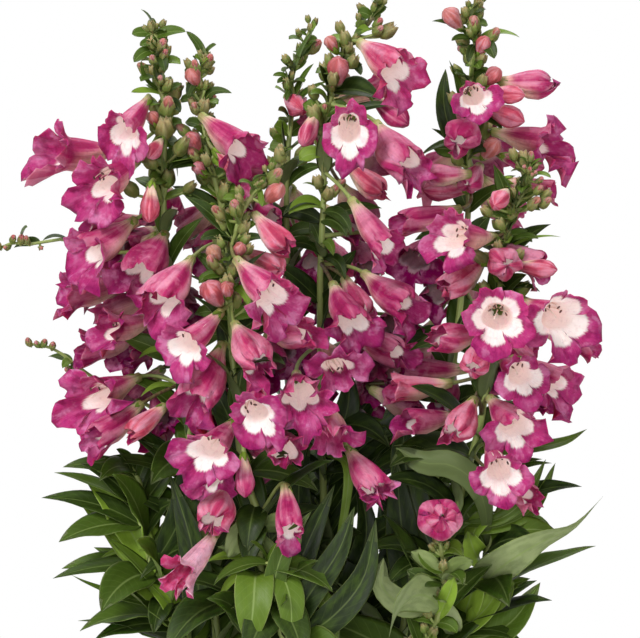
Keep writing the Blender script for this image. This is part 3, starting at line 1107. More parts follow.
# Leaves of each stem and shoot: the height they leave it at, where the tip is from there (right,
# back, up), the arch as a share of the length, the width, the tone from 0 dark to 1 bright, and
# the face
leafRows = {
    "stem_left": ((505, -2, -3, 9, 0.1, 4, 0.45, 70), (506, -11, -4, 0, 0.1, 6, 0.45, 70),
        (505, 15, -6, 2, 0.08, 7, 0.5, 70), (502, -9, -6, -2, 0.1, 5, 0.5, 65),
        (498, -11, -6, -6, 0.15, 6, 0.4, 65), (478, -3, -10, 13, 0.05, 10, 0.2, 80),
        (479, -9, -6, 14, -0.2, 3, 0.4, 70), (496, 4, -8, -9, 0.2, 5.5, 0.1, 50),
        (476, -15, -8, 1, 0.1, 4, 0.9, 45), (472, 8, -9, -5, 0.2, 5, 0.05, 50),
        (456, 6, 14, -20, 0.1, 8, 0.0, 60), (345, -18, -12, 0, 0.2, 4, 0.8, 50),
        (334, 4, -24, -27, 0.2, 8, 0.05, 20), (328, -20, -14, -2, 0.2, 4, 0.8, 50),
        (280, -54, -12, 13, 0.12, 9, 0.15, 50), (276, -28, -10, 28, 0.1, 7, 0.1, 75),
        (272, -20, -14, 26, 0.1, 9, 0.35, 75), (274, -8, -16, 28, 0.1, 11, 0.2, 70),
        (246, -41, -18, 32, 0.12, 11, 0.05, 60), (240, -34, -24, -4, 0.2, 13, 0.1, 40),
        (220, -30, -26, -10, 0.2, 14, 0.1, 30), (262, 18, -20, 6, 0.2, 12, 0.05, 40)),
    "stem_back_left": ((491, -9, 0, 17, 0.1, 5, 0.3, 60), (491, 6, -4, 10, 0.2, 5.5, 0.35, 60),
        (484, -6, -7, -9, 0.2, 5, 0.1, 50), (466, 15, -6, 11, 0.35, 5, 0.2, 60),
        (452, 12, -8, -6, 0.2, 5, 0.3, 50), (436, -14, 6, 8, 0.2, 6, 0.1, 50),
        (420, 16, -10, -4, 0.2, 6, 0.4, 45), (398, -20, 10, 6, 0.2, 8, 0.1, 50),
        (396, 22, -6, 8, 0.2, 8, 0.1, 50)),
    "stem_thin": ((491, 11, -4, 15, 0.1, 3.5, 0.6, 65), (511, 2, -2, 6, 0.1, 2, 0.4, 60),
        (482, 12, -12, 30, 0.1, 6.5, 0.4, 70), (470, -4, -10, 22, 0.1, 6.5, 0.3, 70),
        (458, 7, -12, 26, 0.1, 6.5, 0.3, 70), (462, -6, -12, 8, 0.2, 6, 0.5, 60),
        (508, -6, -3, 1, 0.2, 2.5, 0.4, 60), (472, 11, -8, 22, 0.1, 5, 0.45, 65),
        (489, -6, -5, 7, 0.1, 4, 0.4, 60), (486, -9, -4, 2, 0.15, 3, 0.6, 55),
        (484, -7, -7, 0, 0.2, 3.5, 0.3, 55), (481, -3, -8, -6, 0.2, 3, 0.3, 50),
        (448, -3, -10, 17, -0.2, 6.5, 0.1, 70), (449, -8, -10, 7, 0.2, 5.5, 0.75, 65),
        (430, 18, -10, 12, 0.15, 7, 0.2, 60), (428, -18, 6, 10, 0.15, 7, 0.2, 60)),
    "stem_centre": ((524, 14, -3, 0, 0.1, 4, 0.1, 55), (514, 6, -4, 8, 0.1, 4, 0.1, 60),
        (493, 9, -6, -7, 0.2, 5, 0.1, 50), (472, -5, -8, 19, 0.1, 7, 0.1, 75),
        (470, -9, -7, 6, 0.3, 6, 0.7, 50), (460, 38, -10, 11, 0.1, 6, 0.1, 60),
        (417, -10, -12, 15, 0.3, 4, 0.8, 60), (420, -20, -10, -4, 0.2, 6, 0.1, 45),
        (418, 14, -14, -12, 0.2, 7, 0.15, 50), (402, 6, -12, -6, 0.25, 5, 0.7, 40),
        (394, 12, -14, -10, 0.25, 7, 0.1, 45), (396, -18, -12, 4, 0.2, 8, 0.1, 55),
        (306, 34, -20, -6, 0.2, 16, 0.05, 50), (256, 12, -22, 50, 0.12, 8, 0.1, 75),
        (262, 40, -22, 46, 0.1, 14, 0.02, 70), (290, -30, -16, -10, 0.2, 12, 0.05, 45),
        (286, 26, -24, -4, 0.2, 14, 0.05, 50), (232, 18, -50, 26, 0.15, 12, 0.1, 60)),
    "stem_back_right": ((503, -22, -6, 11, 0.15, 5, 0.15, 60),
        (504, -12, -8, 0, 0.15, 4.5, 0.2, 55), (504, 22, -6, 2, 0.15, 5, 0.75, 55),
        (502, 9, -10, -7, 0.25, 7, 0.2, 50), (502, -4, -9, -9, 0.2, 4, 0.1, 50),
        (486, 1, -9, 10, -0.2, 4, 0.85, 65), (482, -9, -6, 8, 0.1, 3.5, 0.3, 60),
        (454, -25, -6, -8, 0.1, 4.5, 0.2, 55), (440, -19, -10, 20, 0.1, 6, 0.1, 65),
        (466, 16, -8, -6, 0.2, 10, 0.1, 45), (444, 8, -16, 4, 0.2, 6, 0.05, 50),
        (528, -5, -3, 5, 0.2, 3, 0.3, 60), (526, 7, -3, 4, 0.2, 3, 0.3, 60),
        (400, -26, -8, 4, 0.2, 9, 0.1, 50), (396, 24, 6, 8, 0.2, 9, 0.1, 50),
        (352, -26, -14, -4, 0.2, 12, 0.05, 50), (320, -30, -16, 2, 0.2, 14, 0.05, 50),
        (316, 28, 8, 8, 0.2, 12, 0.1, 50), (286, -34, -24, 0, 0.2, 15, 0.05, 45)),
    "stem_right": ((424, -8, -8, 20, 0.3, 4, 0.7, 60), (424, -2, -12, 8, 0.2, 5, 0.2, 60),
        (400, 6, -10, 15, 0.1, 4.5, 0.1, 70), (400, 16, -9, 4, 0.15, 5, 0.3, 55),
        (398, 27, -9, 7, 0.1, 2.5, 0.8, 55), (398, -10, -14, 2, 0.2, 4.5, 0.5, 50),
        (399, -4, -14, 3, 0.2, 4, 0.6, 50), (436, 6, -4, 7, 0.2, 3, 0.6, 60),
        (436, -5, -5, 8, 0.2, 3, 0.5, 60), (434, 10, -7, 0, 0.2, 3, 0.7, 50),
        (414, 14, -8, 4, 0.2, 4, 0.4, 50), (412, -14, -8, 2, 0.2, 4, 0.4, 50),
        (374, 20, -8, 4, 0.2, 7, 0.2, 50), (350, -18, -16, 4, 0.2, 8, 0.1, 50),
        (296, 28, -14, 10, 0.2, 8, 0.2, 55), (278, 40, -4, 17, 0.1, 7, 0.25, 60),
        (266, 48, -3, 27, 0.15, 9, 0.2, 65), (262, -30, -20, 40, 0.3, 16, 0.45, 30),
        (240, 14, -22, 24, 0.15, 12, 0.15, 60), (222, -12, -26, 26, 0.15, 12, 0.2, 65),
        (240, -28, -24, -8, 0.2, 13, 0.1, 40)),
    "stem_front": ((441, 5, -4, 6, 0.2, 3, 0.6, 60), (440, -6, -4, 7, 0.2, 3.5, 0.5, 60),
        (402, -4, -6, 14, 0.1, 8, 0.55, 75), (402, -16, -8, 1, 0.15, 7, 0.1, 50),
        (428, 2, -8, -9, 0.1, 4, 0.7, 50), (430, 9, -7, 2, 0.2, 4, 0.6, 50),
        (426, -8, -7, 5, 0.2, 4, 0.6, 50), (379, 10, -10, -9, 0.25, 5, 0.8, 50),
        (380, -14, -9, 2, 0.2, 5, 0.5, 50), (340, 16, -12, -2, 0.2, 8, 0.15, 50),
        (338, -14, -12, 2, 0.2, 8, 0.15, 50), (264, -5, -18, -20, 0.2, 14, 0.08, 0),
        (264, -20, -8, -10, -0.25, 12, 0.6, -60), (262, 16, -10, -12, -0.25, 12, 0.6, -60),
        (240, -20, -16, -13, 0.2, 8, 0.85, 20), (244, -27, -8, 2, 0.15, 8, 0.9, 50),
        (238, 18, -6, 12, 0.1, 5, 0.7, 60), (224, -46, -32, -22, 0.2, 25, 0.12, 20),
        (284, 22, -18, 14, 0.2, 11, 0.1, 55), (282, -20, -18, 12, 0.2, 11, 0.05, 55)),
    "stem_short": ((242, -12, -6, 12, -0.2, 7, 0.6, 50), (238, -17, -6, 1, 0.1, 8, 0.6, 45),
        (244, 9, -9, 6, 0.5, 10, 0.7, 40), (236, 9, -12, 0, 0.35, 9, 0.3, 30),
        (200, -10, -6, 26, 0.05, 7, 0.3, 75), (200, 8, -4, 14, 0.05, 6, 0.45, 75),
        (253, -4, -5, 5, 0.2, 4, 0.5, 50), (253, 5, -5, 5, 0.2, 4, 0.4, 50)),
    "leafy_left": ((262, -49, -6, 14, 0.08, 13, 0.15, 60), (236, -36, 4, 52, 0.06, 17, 1.0, 75),
        (244, -24, 6, 38, 0.06, 14, 0.9, 75), (268, -29, -4, 25, 0.1, 12, 0.1, 65),
        (250, -24, 2, -5, 0.1, 5, 0.8, 50), (242, -48, -4, -6, 0.06, 9, 0.2, 55),
        (220, -34, 2, 24, 0.1, 16, 0.95, 70), (222, -48, -6, 16, -0.05, 6, 0.5, 55),
        (210, -30, 2, 24, 0.1, 15, 0.9, 70), (212, -42, -10, -6, 0.1, 14, 0.1, 55),
        (286, -10, -4, 14, 0.1, 8, 0.2, 70), (284, 8, 4, 14, 0.1, 8, 0.15, 70),
        (256, 14, -10, 18, 0.15, 15, 0.05, 60), (236, 18, -14, 16, 0.15, 16, 0.05, 60),
        (270, 10, -10, 24, 0.1, 12, 0.1, 70), (224, -6, -18, -14, 0.2, 12, 0.1, 20),
        (230, -14, 10, 40, 0.1, 16, 0.8, 75), (205, -22, -12, 30, 0.1, 15, 0.85, 70)),
    "leafy_front": ((250, -8, -6, 10, 0.1, 5, 0.6, 60), (250, 8, -5, 9, 0.1, 5, 0.5, 60),
        (216, 4, -22, 14, 0.15, 11, 0.2, 60)),
    "leafy_right": ((268, -14, -12, -20, 0.2, 12, 0.75, 20), (232, 27, -2, 17, 0.1, 6, 0.5, 60),
        (208, 36, -6, 27, 0.1, 17, 0.6, 60), (216, 10, -16, 12, 0.25, 10, 0.85, 50),
        (222, 16, -18, 2, 0.25, 10, 0.85, 40), (205, 34, -14, -2, 0.15, 9, 0.2, 45),
        (270, 8, -8, 12, 0.2, 6, 0.5, 60), (212, -14, -24, 4, 0.2, 12, 0.5, 45)),
    "leafy_back": ((206, -34, 18, 6, 0.2, 12, 0.2, 20), (208, 34, 18, 8, 0.2, 12, 0.2, 20),
        (224, -26, 26, 10, 0.2, 12, 0.1, 20), (226, 28, 24, 10, 0.2, 12, 0.3, 20),
        (252, -28, 14, 14, 0.2, 10, 0.2, 20), (254, 26, 18, 12, 0.2, 10, 0.2, 20),
        (280, -16, 12, 18, 0.2, 8, 0.2, 30), (282, 18, 10, 18, 0.2, 8, 0.3, 30),
        (298, -5, 4, 16, 0.1, 6, 0.4, 40), (298, 6, 5, 15, 0.1, 6, 0.4, 40)),
}
# Leaves with a longer way to go: the height, the points of the midrib after that (right, back,
# up), the width, the tone, the face, and how blunt the foot and how long the point is
longLeaves = {
    "leafy_right": (
        (232, ((5, -30, 8), (15, -46, 17), (29, -46, 25), (44, -36, 31), (59, -20, 45)), 20, 0.45,
         -65, 0.6, 1.9),
        (250, ((-2, -22, 22), (-9, -30, 36), (-20, -32, 43), (-33, -30, 44), (-46, -26, 51)), 14,
         0.03, -70, 0.9, 0.6),
        (204, ((-3, -36, 11), (-13, -52, 20), (-27, -58, 22), (-37, -58, 31), (-36, -54, 44)), 15,
         0.45, -70, 0.6, 0.7),
        (204, ((16, -6, 2), (30, -8, 11), (43, -6, 29)), 17, 0.6, 65, 0.7, 0.9),
        (240, ((-5, -14, 8), (-9, -18, 20)), 13, 0.9, 55, 0.7, 0.8),
        (212, ((4, -14, 14), (9, -18, 32)), 15, 0.95, 60, 0.7, 0.8),
        (222, ((12, -10, 2), (22, -12, 12)), 12, 0.8, 60, 0.7, 0.8),
        (206, ((8, -14, 8), (18, -18, 20), (22, -18, 36)), 12, 0.85, 60, 0.7, 0.9)),
    "stem_right": (
        (300, ((14, -6, 0), (30, -8, 1), (45, -7, 4), (56, -5, 10)), 9, 0.6, 55, 0.6, 1.0),
        (262, ((22, -4, 3), (36, -4, 14), (46, -4, 33)), 7, 0.6, 70, 0.8, 0.9),
        (258, ((26, -2, 4), (42, -2, 14), (52, 0, 35)), 8, 0.65, 70, 0.8, 0.9),
        (240, ((-12, 6, 28), (-18, 6, 56), (-18, 4, 74)), 17, 0.0, 80, 0.7, 0.9),
        (206, ((-8, 4, 30), (-12, 2, 60), (-14, 0, 88)), 18, 0.0, 80, 0.7, 0.9)),
    "stem_short": ((238, ((-8, -6, 9), (-16, -9, 14)), 9, 0.6, -55, 0.7, 0.7),
        (236, ((-10, -8, 3), (-18, -10, 7)), 9, 0.2, 60, 0.7, 0.7),
        (237, ((7, -6, 8), (14, -10, 11)), 11, 0.7, -50, 0.7, 0.7),
        (218, ((5, -8, 12), (8, -12, 22)), 9, 0.9, 60, 0.7, 0.8)),
    "stem_front": ((274, ((-2, -12, -8), (-4, -16, -23)), 15, 0.1, 80, 0.7, 1.1),
        (258, ((-8, -12, 2), (-15, -14, -9)), 13, 0.6, -75, 0.7, 0.7),
        (262, ((12, -12, 2), (19, -14, -10)), 13, 0.6, -75, 0.7, 0.7),
        (240, ((-2, -26, 0), (-3, -34, -14), (-5, -33, -33)), 19, 0.66, 60, 0.8, 0.8),
        (240, ((10, -24, 1), (15, -32, -12), (15, -32, -34)), 15, 0.62, 60, 0.8, 0.8),
        (238, ((24, -14, -4), (34, -18, -16), (38, -18, -30)), 9, 0.7, 60, 0.7, 0.9),
        (214, ((14, -10, 22), (24, -12, 44), (36, -12, 70)), 14, 0.0, 80, 0.7, 1.0)),
    "stem_centre": ((296, ((12, -22, -4), (11, -26, -28), (2, -28, -66)), 5, 0.8, 85, 0.8, 1.0),
        (210, ((26, -20, 20), (38, -24, 52), (36, -22, 92)), 15, 0.0, 80, 0.7, 1.0),
        (206, ((12, -26, 24), (20, -30, 52), (14, -30, 84)), 14, 0.02, 80, 0.7, 1.0),
        (204, ((40, -14, 24), (54, -16, 56), (50, -14, 90)), 16, 0.0, 80, 0.7, 1.0),
        (216, ((-10, -20, 30), (-14, -22, 62), (-8, -22, 90)), 15, 0.0, 80, 0.7, 1.0),
        (250, ((18, -10, 30), (30, -12, 52), (34, -12, 76)), 14, 0.0, 80, 0.7, 1.0),
        (294, ((8, -6, 12), (13, -8, 28), (13, -8, 46)), 14, 0.0, 75, 0.7, 0.9),
        (280, ((20, -8, 20), (36, -10, 32), (46, -10, 54)), 13, 0.0, 80, 0.7, 1.0),
        (292, ((8, 8, 12), (20, 10, 26), (30, 10, 40)), 14, 0.0, 75, 0.7, 0.9)),
    "stem_back_left": ((330, ((-18, -4, 10), (-30, -6, 22), (-34, -6, 40)), 12, 0.0, 75, 0.7,
         1.0),),
    "stem_back_right": ((446, ((-9, -6, 12), (-13, -8, 28), (-12, -8, 44)), 10, 0.05, 75, 0.7,
         0.9),),
    "leafy_front": ((208, ((10, -6, 20), (26, -8, 44), (34, -8, 66)), 14, 0.0, 80, 0.7, 1.0),
        (206, ((22, -8, 14), (38, -10, 34), (44, -8, 62)), 15, 0.02, 80, 0.7, 1.0),
        (220, ((-2, -8, 16), (4, -10, 36), (16, -10, 52)), 11, 0.3, 70, 0.7, 1.0)),
    "leafy_left": ((205, ((6, -16, 24), (2, -20, 52), (-8, -20, 84)), 16, 0.0, 80, 0.7, 1.0),
        (240, ((14, -10, 24), (20, -12, 50), (20, -12, 66)), 14, 0.02, 80, 0.7, 1.0)),
}
singleValues = {"twist": (-25, 25), "fold": (0.15, 0.4), "wave": (0.05, 0.16),
                "widest": (0.5, 0.75)}
longValues = {"twist": (-20, 20), "fold": (0.1, 0.3), "wave": (0.04, 0.1)}
mouthSpots = np.array(mouths)


def drawn(values, rng):
    # one random value from each range, in the order of the dictionary
    return {key: rng.uniform(*values[key]) for key in values}


def leavesFrom(name, line, rng):
    parts = []
    for height, right, back, up, arch, width, tone, face in leafRows.get(name, ()):
        reach = np.array((right, back, up), float)
        spine, across = reachSpine(pointAt(line, height), reach, arch, face)
        blunt = np.interp(np.linalg.norm(reach), (12, 30), (0.5, 1.0))  # short leaves are blunt
        parts.append(blade(spine, across, width / 2, tone, rng, point=blunt,
                           **drawn(singleValues, rng)))
    return parts


def longLeavesFrom(name, line, rng):
    parts = []
    for height, points, width, tone, face, widest, point in longLeaves.get(name, ()):
        points = np.vstack((np.zeros(3), points))
        spine, across = pathSpine(pointAt(line, height) + points, face)
        parts.append(blade(spine, across, width / 2, tone, rng, widest=widest, point=point,
                           columns=9, **drawn(longValues, rng)))
    return parts


# Opposite pairs of leaves, each pair a quarter turn from the one below. Leaves to the back stand
# up, leaves to the front hang over; they get shorter and narrower upwards
pairValues = {
    "heights": (186, 440), "steps": (10.5, 24), "length": (76, 26), "width": (21, 8),
    "riseBackSideFront": (78, 44, 66), "bend": (15, 75), "rimGap": (8, 3.0), "outside": 10.0,
    "mouthGap": 0.75, "turn": (-25, 25), "riseSpread": (-18, 18), "lengthSpread": (0.75, 1.1),
    "face": (15, 80), "widthSpread": (0.8, 1.15), "stepSpread": (0.8, 1.2),
    "leaf": {"twist": (-40, 40), "wave": (0.05, 0.14)},
    "lowest": {"leafy_front": 250, "stem_short": 250, "leafy_right": 240},
    "tones": {"leafy_left": (0.1, 0.9), "leafy_front": (0.0, 0.5), "leafy_right": (0.2, 0.9),
              "stem_left": (0.0, 0.5)},
}
vaseLow, vaseHigh = (np.array(corner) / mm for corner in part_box("vase"))
lowCorner, highCorner = (np.array(corner) / mm for corner in cadBox)


def fits(spine):
    # no point of the leaf is in or near the vase's wall, far outside the model, or in a mouth
    beside, above = pairValues["rimGap"]
    reach = np.linalg.norm(spine[:, :2], axis=1)
    inVase = (reach < vaseHigh[0] + beside) & (spine[:, 2] < vaseHigh[2] + above)
    spread = pairValues["outside"]
    inside = (spine > lowCorner - spread).all() and (spine < highCorner + spread).all()
    apart = np.linalg.norm(spine[:, None] - mouthSpots[None, :, :3], axis=2)
    return not inVase.any() and inside and (apart > pairValues["mouthGap"] * mouthSpots[:, 3]).all()


def pairsFrom(name, line, rng):
    parts = []
    g = pairValues
    tones = g["tones"].get(name, (0.0, 0.25))
    low, high = g["heights"]
    turn = rng.uniform(0, 180)
    height = g["lowest"].get(name, low) + rng.uniform(0, 10)
    while height < min(high, line[:, 2].max() - 20):
        turn += 90
        share = ((height - low) / (high - low)) ** 0.7
        length, width, step = (np.interp(share, (0, 1), g[key])
                               for key in ("length", "width", "steps"))
        for side in (0, 180):
            heading = turn + side + rng.uniform(*g["turn"])
            rise = np.interp(math.cos(math.radians(heading)), (-1, 0, 1), g["riseBackSideFront"])
            rise += rng.uniform(*g["riseSpread"])
            bend, longer, face = (rng.uniform(*g[key]) for key in ("bend", "lengthSpread", "face"))
            spine, across = archSpine(pointAt(line, height), heading, rise, bend, length * longer,
                                      face, rows=11)
            if fits(spine):
                half = width / 2 * rng.uniform(*g["widthSpread"])
                parts.append(blade(spine, across, half, rng.uniform(*tones), rng, columns=5,
                                   **drawn(g["leaf"], rng)))
        height += step * rng.uniform(*g["stepSpread"])
    return parts


def leavesOf(name, line, rng):
    return [part for kind in (leavesFrom, pairsFrom, longLeavesFrom)
            for part in kind(name, line, rng)]


for order, name in enumerate(stemNames):
    parts = leavesOf(name, lines[name], np.random.default_rng(400 + order))
    makePiece(name + "_leaves", parts)

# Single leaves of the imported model: stem, height, heading, rise, bend, length, half width, tone
# and face
leafTable = {
    "leaf_left_top": ("stem_back_left", 443, -60, 10, 40, 24, 6.5, 0.1, 45),
    "leaf_thin_mid": ("stem_thin", 470, 60, 55, 40, 26, 4, 0.4, 45),
    "leaf_centre_top": ("stem_centre", 478, 75, 15, 50, 26, 7.5, 0.1, 45),
    "leaf_centre_mid": ("stem_centre", 420, -60, 30, 80, 22, 5, 0.8, 45),
    "leaf_centre_low": ("stem_centre", 414, 40, 10, 70, 22, 5, 0.2, 45),
    "leaf_back_right_top": ("stem_back_right", 456, -75, 80, 10, 40, 4.5, 0.4, 45),
    "leaf_right_low": ("stem_right", 296, -60, 25, 60, 50, 10, 0.1, 45),
    "leaf_front_low": ("stem_front", 290, 100, 10, 50, 40, 8, 0.2, 45),
    "leaf_left_low": ("stem_left", 292, -25, 20, 60, 50, 10, 0.2, 45),
    "leaf_short_low": ("stem_short", 222, -30, 45, 110, 62, 10, 0.5, -70),
}
for order, (name, (stem, height, *shape, halfWidth, tone, face)) in enumerate(leafTable.items()):
    rng = np.random.default_rng(500 + order)
    spine, across = archSpine(pointAt(lines[stem], height), *shape, face=face)
    leaf = blade(spine, across, halfWidth, tone, rng)
    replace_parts(makePiece(name + "_blade", [leaf]), name)

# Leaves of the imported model's shoots: height or, on side shoots, share of the way; heading, rise,
# bend, length, half width
shootTable = {
    "side_shoot_upper": ((0.55, -60, 30, 60, 16, 3.0), (0.75, -110, 10, 40, 15, 2.8)),
    "side_shoot_lower": ((0.5, -60, -60, 40, 14, 2.4), (0.7, -120, 30, 40, 15, 2.6)),
    "leafy_left": ((215, -75, 20, 50, 50, 10), (236, -100, 25, 40, 48, 8),
        (238, -40, 5, 60, 42, 11), (262, -70, 10, 40, 44, 9), (264, -140, 30, 60, 40, 8),
        (284, -95, 35, 50, 40, 6), (288, -30, 30, 70, 34, 6)),
    "leafy_front": ((204, -60, 0, 60, 44, 12), (206, 55, 10, 60, 44, 11),
        (226, -35, -20, 50, 36, 9), (228, 35, -25, 50, 34, 9), (244, 80, 10, 60, 34, 8),
        (246, -80, 10, 60, 30, 6)),
    "leafy_right": ((206, 60, 35, 30, 58, 11), (222, 85, 35, 20, 70, 8), (235, 15, 20, 70, 46, 11),
        (247, 40, 40, 60, 40, 8), (256, 130, 30, 60, 46, 9), (265, 70, 45, 50, 50, 6)),
    "leafy_back": ((208, 150, 20, 60, 56, 12), (210, -150, 20, 60, 56, 12),
        (238, 120, 25, 60, 50, 10), (240, -130, 25, 60, 50, 10), (268, 175, 30, 60, 50, 9),
        (290, 120, 45, 60, 40, 7), (292, -120, 45, 60, 40, 7)),
}
shootValues = {"leafy": (2.2, 1.2), "side": (1.1, 0.7), "sides": 10}
for order, (name, rows) in enumerate(shootTable.items()):
    rng = np.random.default_rng(600 + order)
    line = lines[name]
    upright = line[np.argsort(line[:, 2])]
    leafy = name.startswith("leafy")
    thick = np.linspace(*shootValues["leafy" if leafy else "side"], len(line))
    parts = [rod(line, thick, shootValues["sides"], (0.2, 0.4, 0, 0), "stalk")]
    for place, *shape, halfWidth in rows:
        spot = pointAt(upright, place) if leafy else line[round(place * (len(line) - 1))]
        spine, across = archSpine(spot, *shape, face=rng.uniform(10, 60))
        parts.append(blade(spine, across, halfWidth, rng.uniform(0, 0.5), rng))
    if leafy:
        parts += leavesOf(name, upright, rng)
    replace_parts(makePiece(name + "_leaves", parts), name)
print("scene: leaves made")


# Buds of each stem: the height they leave it at or, on side shoots, the share of the way; where
# the tip is from there (right, back, up), the radius, the tone as for the flowers, and how green
# they still are
stemBuds = {
    "stem_left": ((500, -4, -7, 4, 2.6, 0, 1), (498, 4, -8, 5, 2.8, 0, 0.9),
        (493, 4, -8, 5, 2.2, 0.1, 0.8), (490, -4, -9, 5, 2.2, 0.3, 0.4),
        (480, 1, -9, 5, 2.1, 0, 0.9), (478, 5, -8, 6, 3.0, 0, 1), (467, 2, -11, 7, 4.2, 0, 0.9),
        (456, 0, -12, 8, 4.6, 0, 1), (460, -7, -10, 7, 3.4, 0.2, 0.3),
        (424, -19, -14, 8, 3.6, 0, 1), (437, -6, -12, 7, 2.5, 0, 1), (509, -1, -3, 6, 2.4, 0, 1),
        (486, -11, 6, 6, 3.0, 0, 0.9), (470, 4, 10, 6, 3.4, 0.1, 0.7)),
    "stem_back_left": ((482, -6, -8, 7, 4.3, 0.05, 0.25), (487, -2, -7, 6, 2.8, 0, 0.6),
        (468, 2, -9, 6, 3.5, 0, 1), (466, -4, -8, 6, 2.6, 0, 0.8), (450, -9, -9, 7, 4.5, 0.2, 0.2),
        (455, -13, -8, 6, 3.0, 0, 0.9), (443, -10, -10, 6, 3.2, 0, 0.8),
        (437, -9, -10, 5, 3.5, 0.4, 0.2), (488, 6, -6, 8, 2.8, 0, 0.9), (491, 0, -3, 6, 2.4, 0, 1),
        (470, 6, 8, 7, 3.0, 0, 0.8), (452, 4, 9, 7, 3.2, 0.1, 0.5)),
    "stem_thin": ((480, -4, -6, 7, 2.6, 0, 1), (500, 9, -4, 6, 3.0, 0, 0.9),
        (496, 2, 6, 6, 2.4, 0, 1), (511, 0, -2, 4, 1.8, 0, 1), (492, -5, -5, 5, 2.0, 0, 0.9)),
    "stem_centre": ((497, -9, -8, 8, 3.5, 0.1, 0.3), (500, -2, -9, 8, 3.0, 0, 1),
        (486, 0, -12, 8, 6.0, 0.15, 0), (490, 8, -9, 6, 3.2, 0, 1), (509, 10, -7, 5, 2.3, 0, 0.9),
        (505, 14, -9, 5, 2.4, 0.1, 0.3), (506, 20, -8, 5, 3.7, 0, 1), (459, -5, -11, 8, 3.5, 0, 1),
        (464, 0, -10, 7, 2.0, 0, 0.9), (476, 0, -9, 6, 2.0, 0, 0.8), (423, 3, -12, 7, 3.0, 0, 1),
        (424, 7, -11, 7, 2.6, 0, 0.9), (427, 10, -10, 7, 2.4, 0.1, 0.6),
        (429, -4, -11, 7, 3.0, 0, 1), (516, 2, 7, 5, 2.8, 0, 0.9), (527, 3, -3, 4, 2.6, 0, 0.9),
        (480, 6, 10, 8, 3.6, 0.1, 0.5)),
    "stem_back_right": ((512, -14, -8, 8, 5.0, 0.1, 0), (515, -4, -8, 6, 2.3, 0, 1),
        (509, 0, -9, 7, 3.7, 0, 0.9), (499, 6, -9, 7, 4.2, 0.1, 0.15),
        (503, 11, -8, 7, 3.0, 0, 0.7), (483, 14, -10, 7, 4.5, 0.1, 0), (441, -8, -10, 7, 3.0, 0, 1),
        (447, 14, -14, 7, 5.0, 0.05, 0), (530, 0, -2, 5, 2.2, 0, 1), (524, 5, -3, 6, 2.4, 0, 0.9),
        (516, 6, 8, 6, 3.0, 0, 0.8), (498, -6, 10, 7, 3.6, 0.1, 0.4)),
    "stem_right": ((430, -2, -4, 18, 3.0, 0, 1), (430, 2, -5, 17, 2.0, 0, 0.9),
        (432, -9, -4, 17, 2.4, 0, 1), (436, -3, -6, 4, 1.6, 0, 0.9), (436, 0, -7, 3, 1.6, 0, 0.8),
        (436, 3, -6, 1, 1.5, 0, 0.9), (434, 1, -8, 2, 1.4, 0, 0.8), (434, 5, -6, -1, 1.4, 0, 0.9),
        (433, 6, -8, 1, 1.5, 0, 0.9), (424, 10, -9, 6, 2.2, 0.2, 0.5),
        (418, 12, -10, 6, 3.0, 0.05, 0.6), (419, 17, -9, 5, 2.6, 0.2, 0.4),
        (423, 15, -8, 5, 2.4, 0, 1), (414, -15, -10, 6, 2.6, 0, 1), (417, -12, -9, 7, 2.8, 0, 1),
        (407, -5, -12, 7, 2.8, 0, 1), (396, -4, -14, 7, 2.6, 0, 1), (393, 9, -12, 6, 2.8, 0, 1),
        (420, -8, -10, 6, 2.4, 0.5, 0), (428, 4, 8, 5, 2.8, 0, 0.8)),
    "stem_front": ((441, -2, -5, 7, 3.0, 0, 1), (424, 15, -8, 6, 5.0, 0.1, 0),
        (431, 8, -7, 6, 3.5, 0, 0.7), (427, 3, -7, 5, 1.8, 0, 1), (415, -3, -8, 7, 3.5, 0, 0.8),
        (412, -12, -7, 7, 3.0, 0.1, 0.6), (399, 8, -9, 7, 2.5, 0, 1), (395, 11, -10, 6, 2.5, 0, 1),
        (395, 6, -12, 6, 3.5, 0.1, 0.1), (392, -9, -10, 8, 4.0, 0.2, 0.5),
        (388, -9, -12, 7, 3.0, 0, 0.8), (374, -11, -16, 8, 6.0, 0.05, 0),
        (375, -1, -15, 7, 3.8, 0.05, 0.1), (436, 2, 7, 6, 3.0, 0, 0.9),
        (240, -7, -9, -2, 2.4, 0.1, 0.6), (240, 11, -9, -2, 2.2, 0, 0.9)),
    "stem_short": ((256, -3, -4, 4, 1.8, 0, 0.9),),
    "side_shoot_upper": ((1.0, -2, -3, 3, 1.8, 0, 0.8), (0.94, 2, -4, 4, 1.8, 0, 0.7),
        (0.9, -3, -4, -2, 1.6, 0.2, 0.5), (0.86, 1, -4, 4, 2.0, 0, 0.8),
        (0.8, -2, -4, 4, 1.8, 0, 0.7), (0.74, 1, -4, -3, 1.6, 0.2, 0.5)),
    "side_shoot_lower": ((1.0, -2, -3, 3, 1.8, 0, 0.8), (0.94, 2, -4, 3, 1.8, 0, 0.7),
        (0.9, -3, -4, 2, 1.6, 0.2, 0.5), (0.86, 1, -4, 3, 1.8, 0, 0.8),
        (0.72, -3, -4, -4, 2.0, 0, 0.7), (0.7, 3, -4, -4, 1.8, 0.2, 0.5)),
}
budValues = {"length": 2.9, "green": 0.5, "closed": 0.95, "young": 3.4, "bractFrom": 1.9,
             "bract": (8, 13), "bractWidth": (1.8, 3.0)}


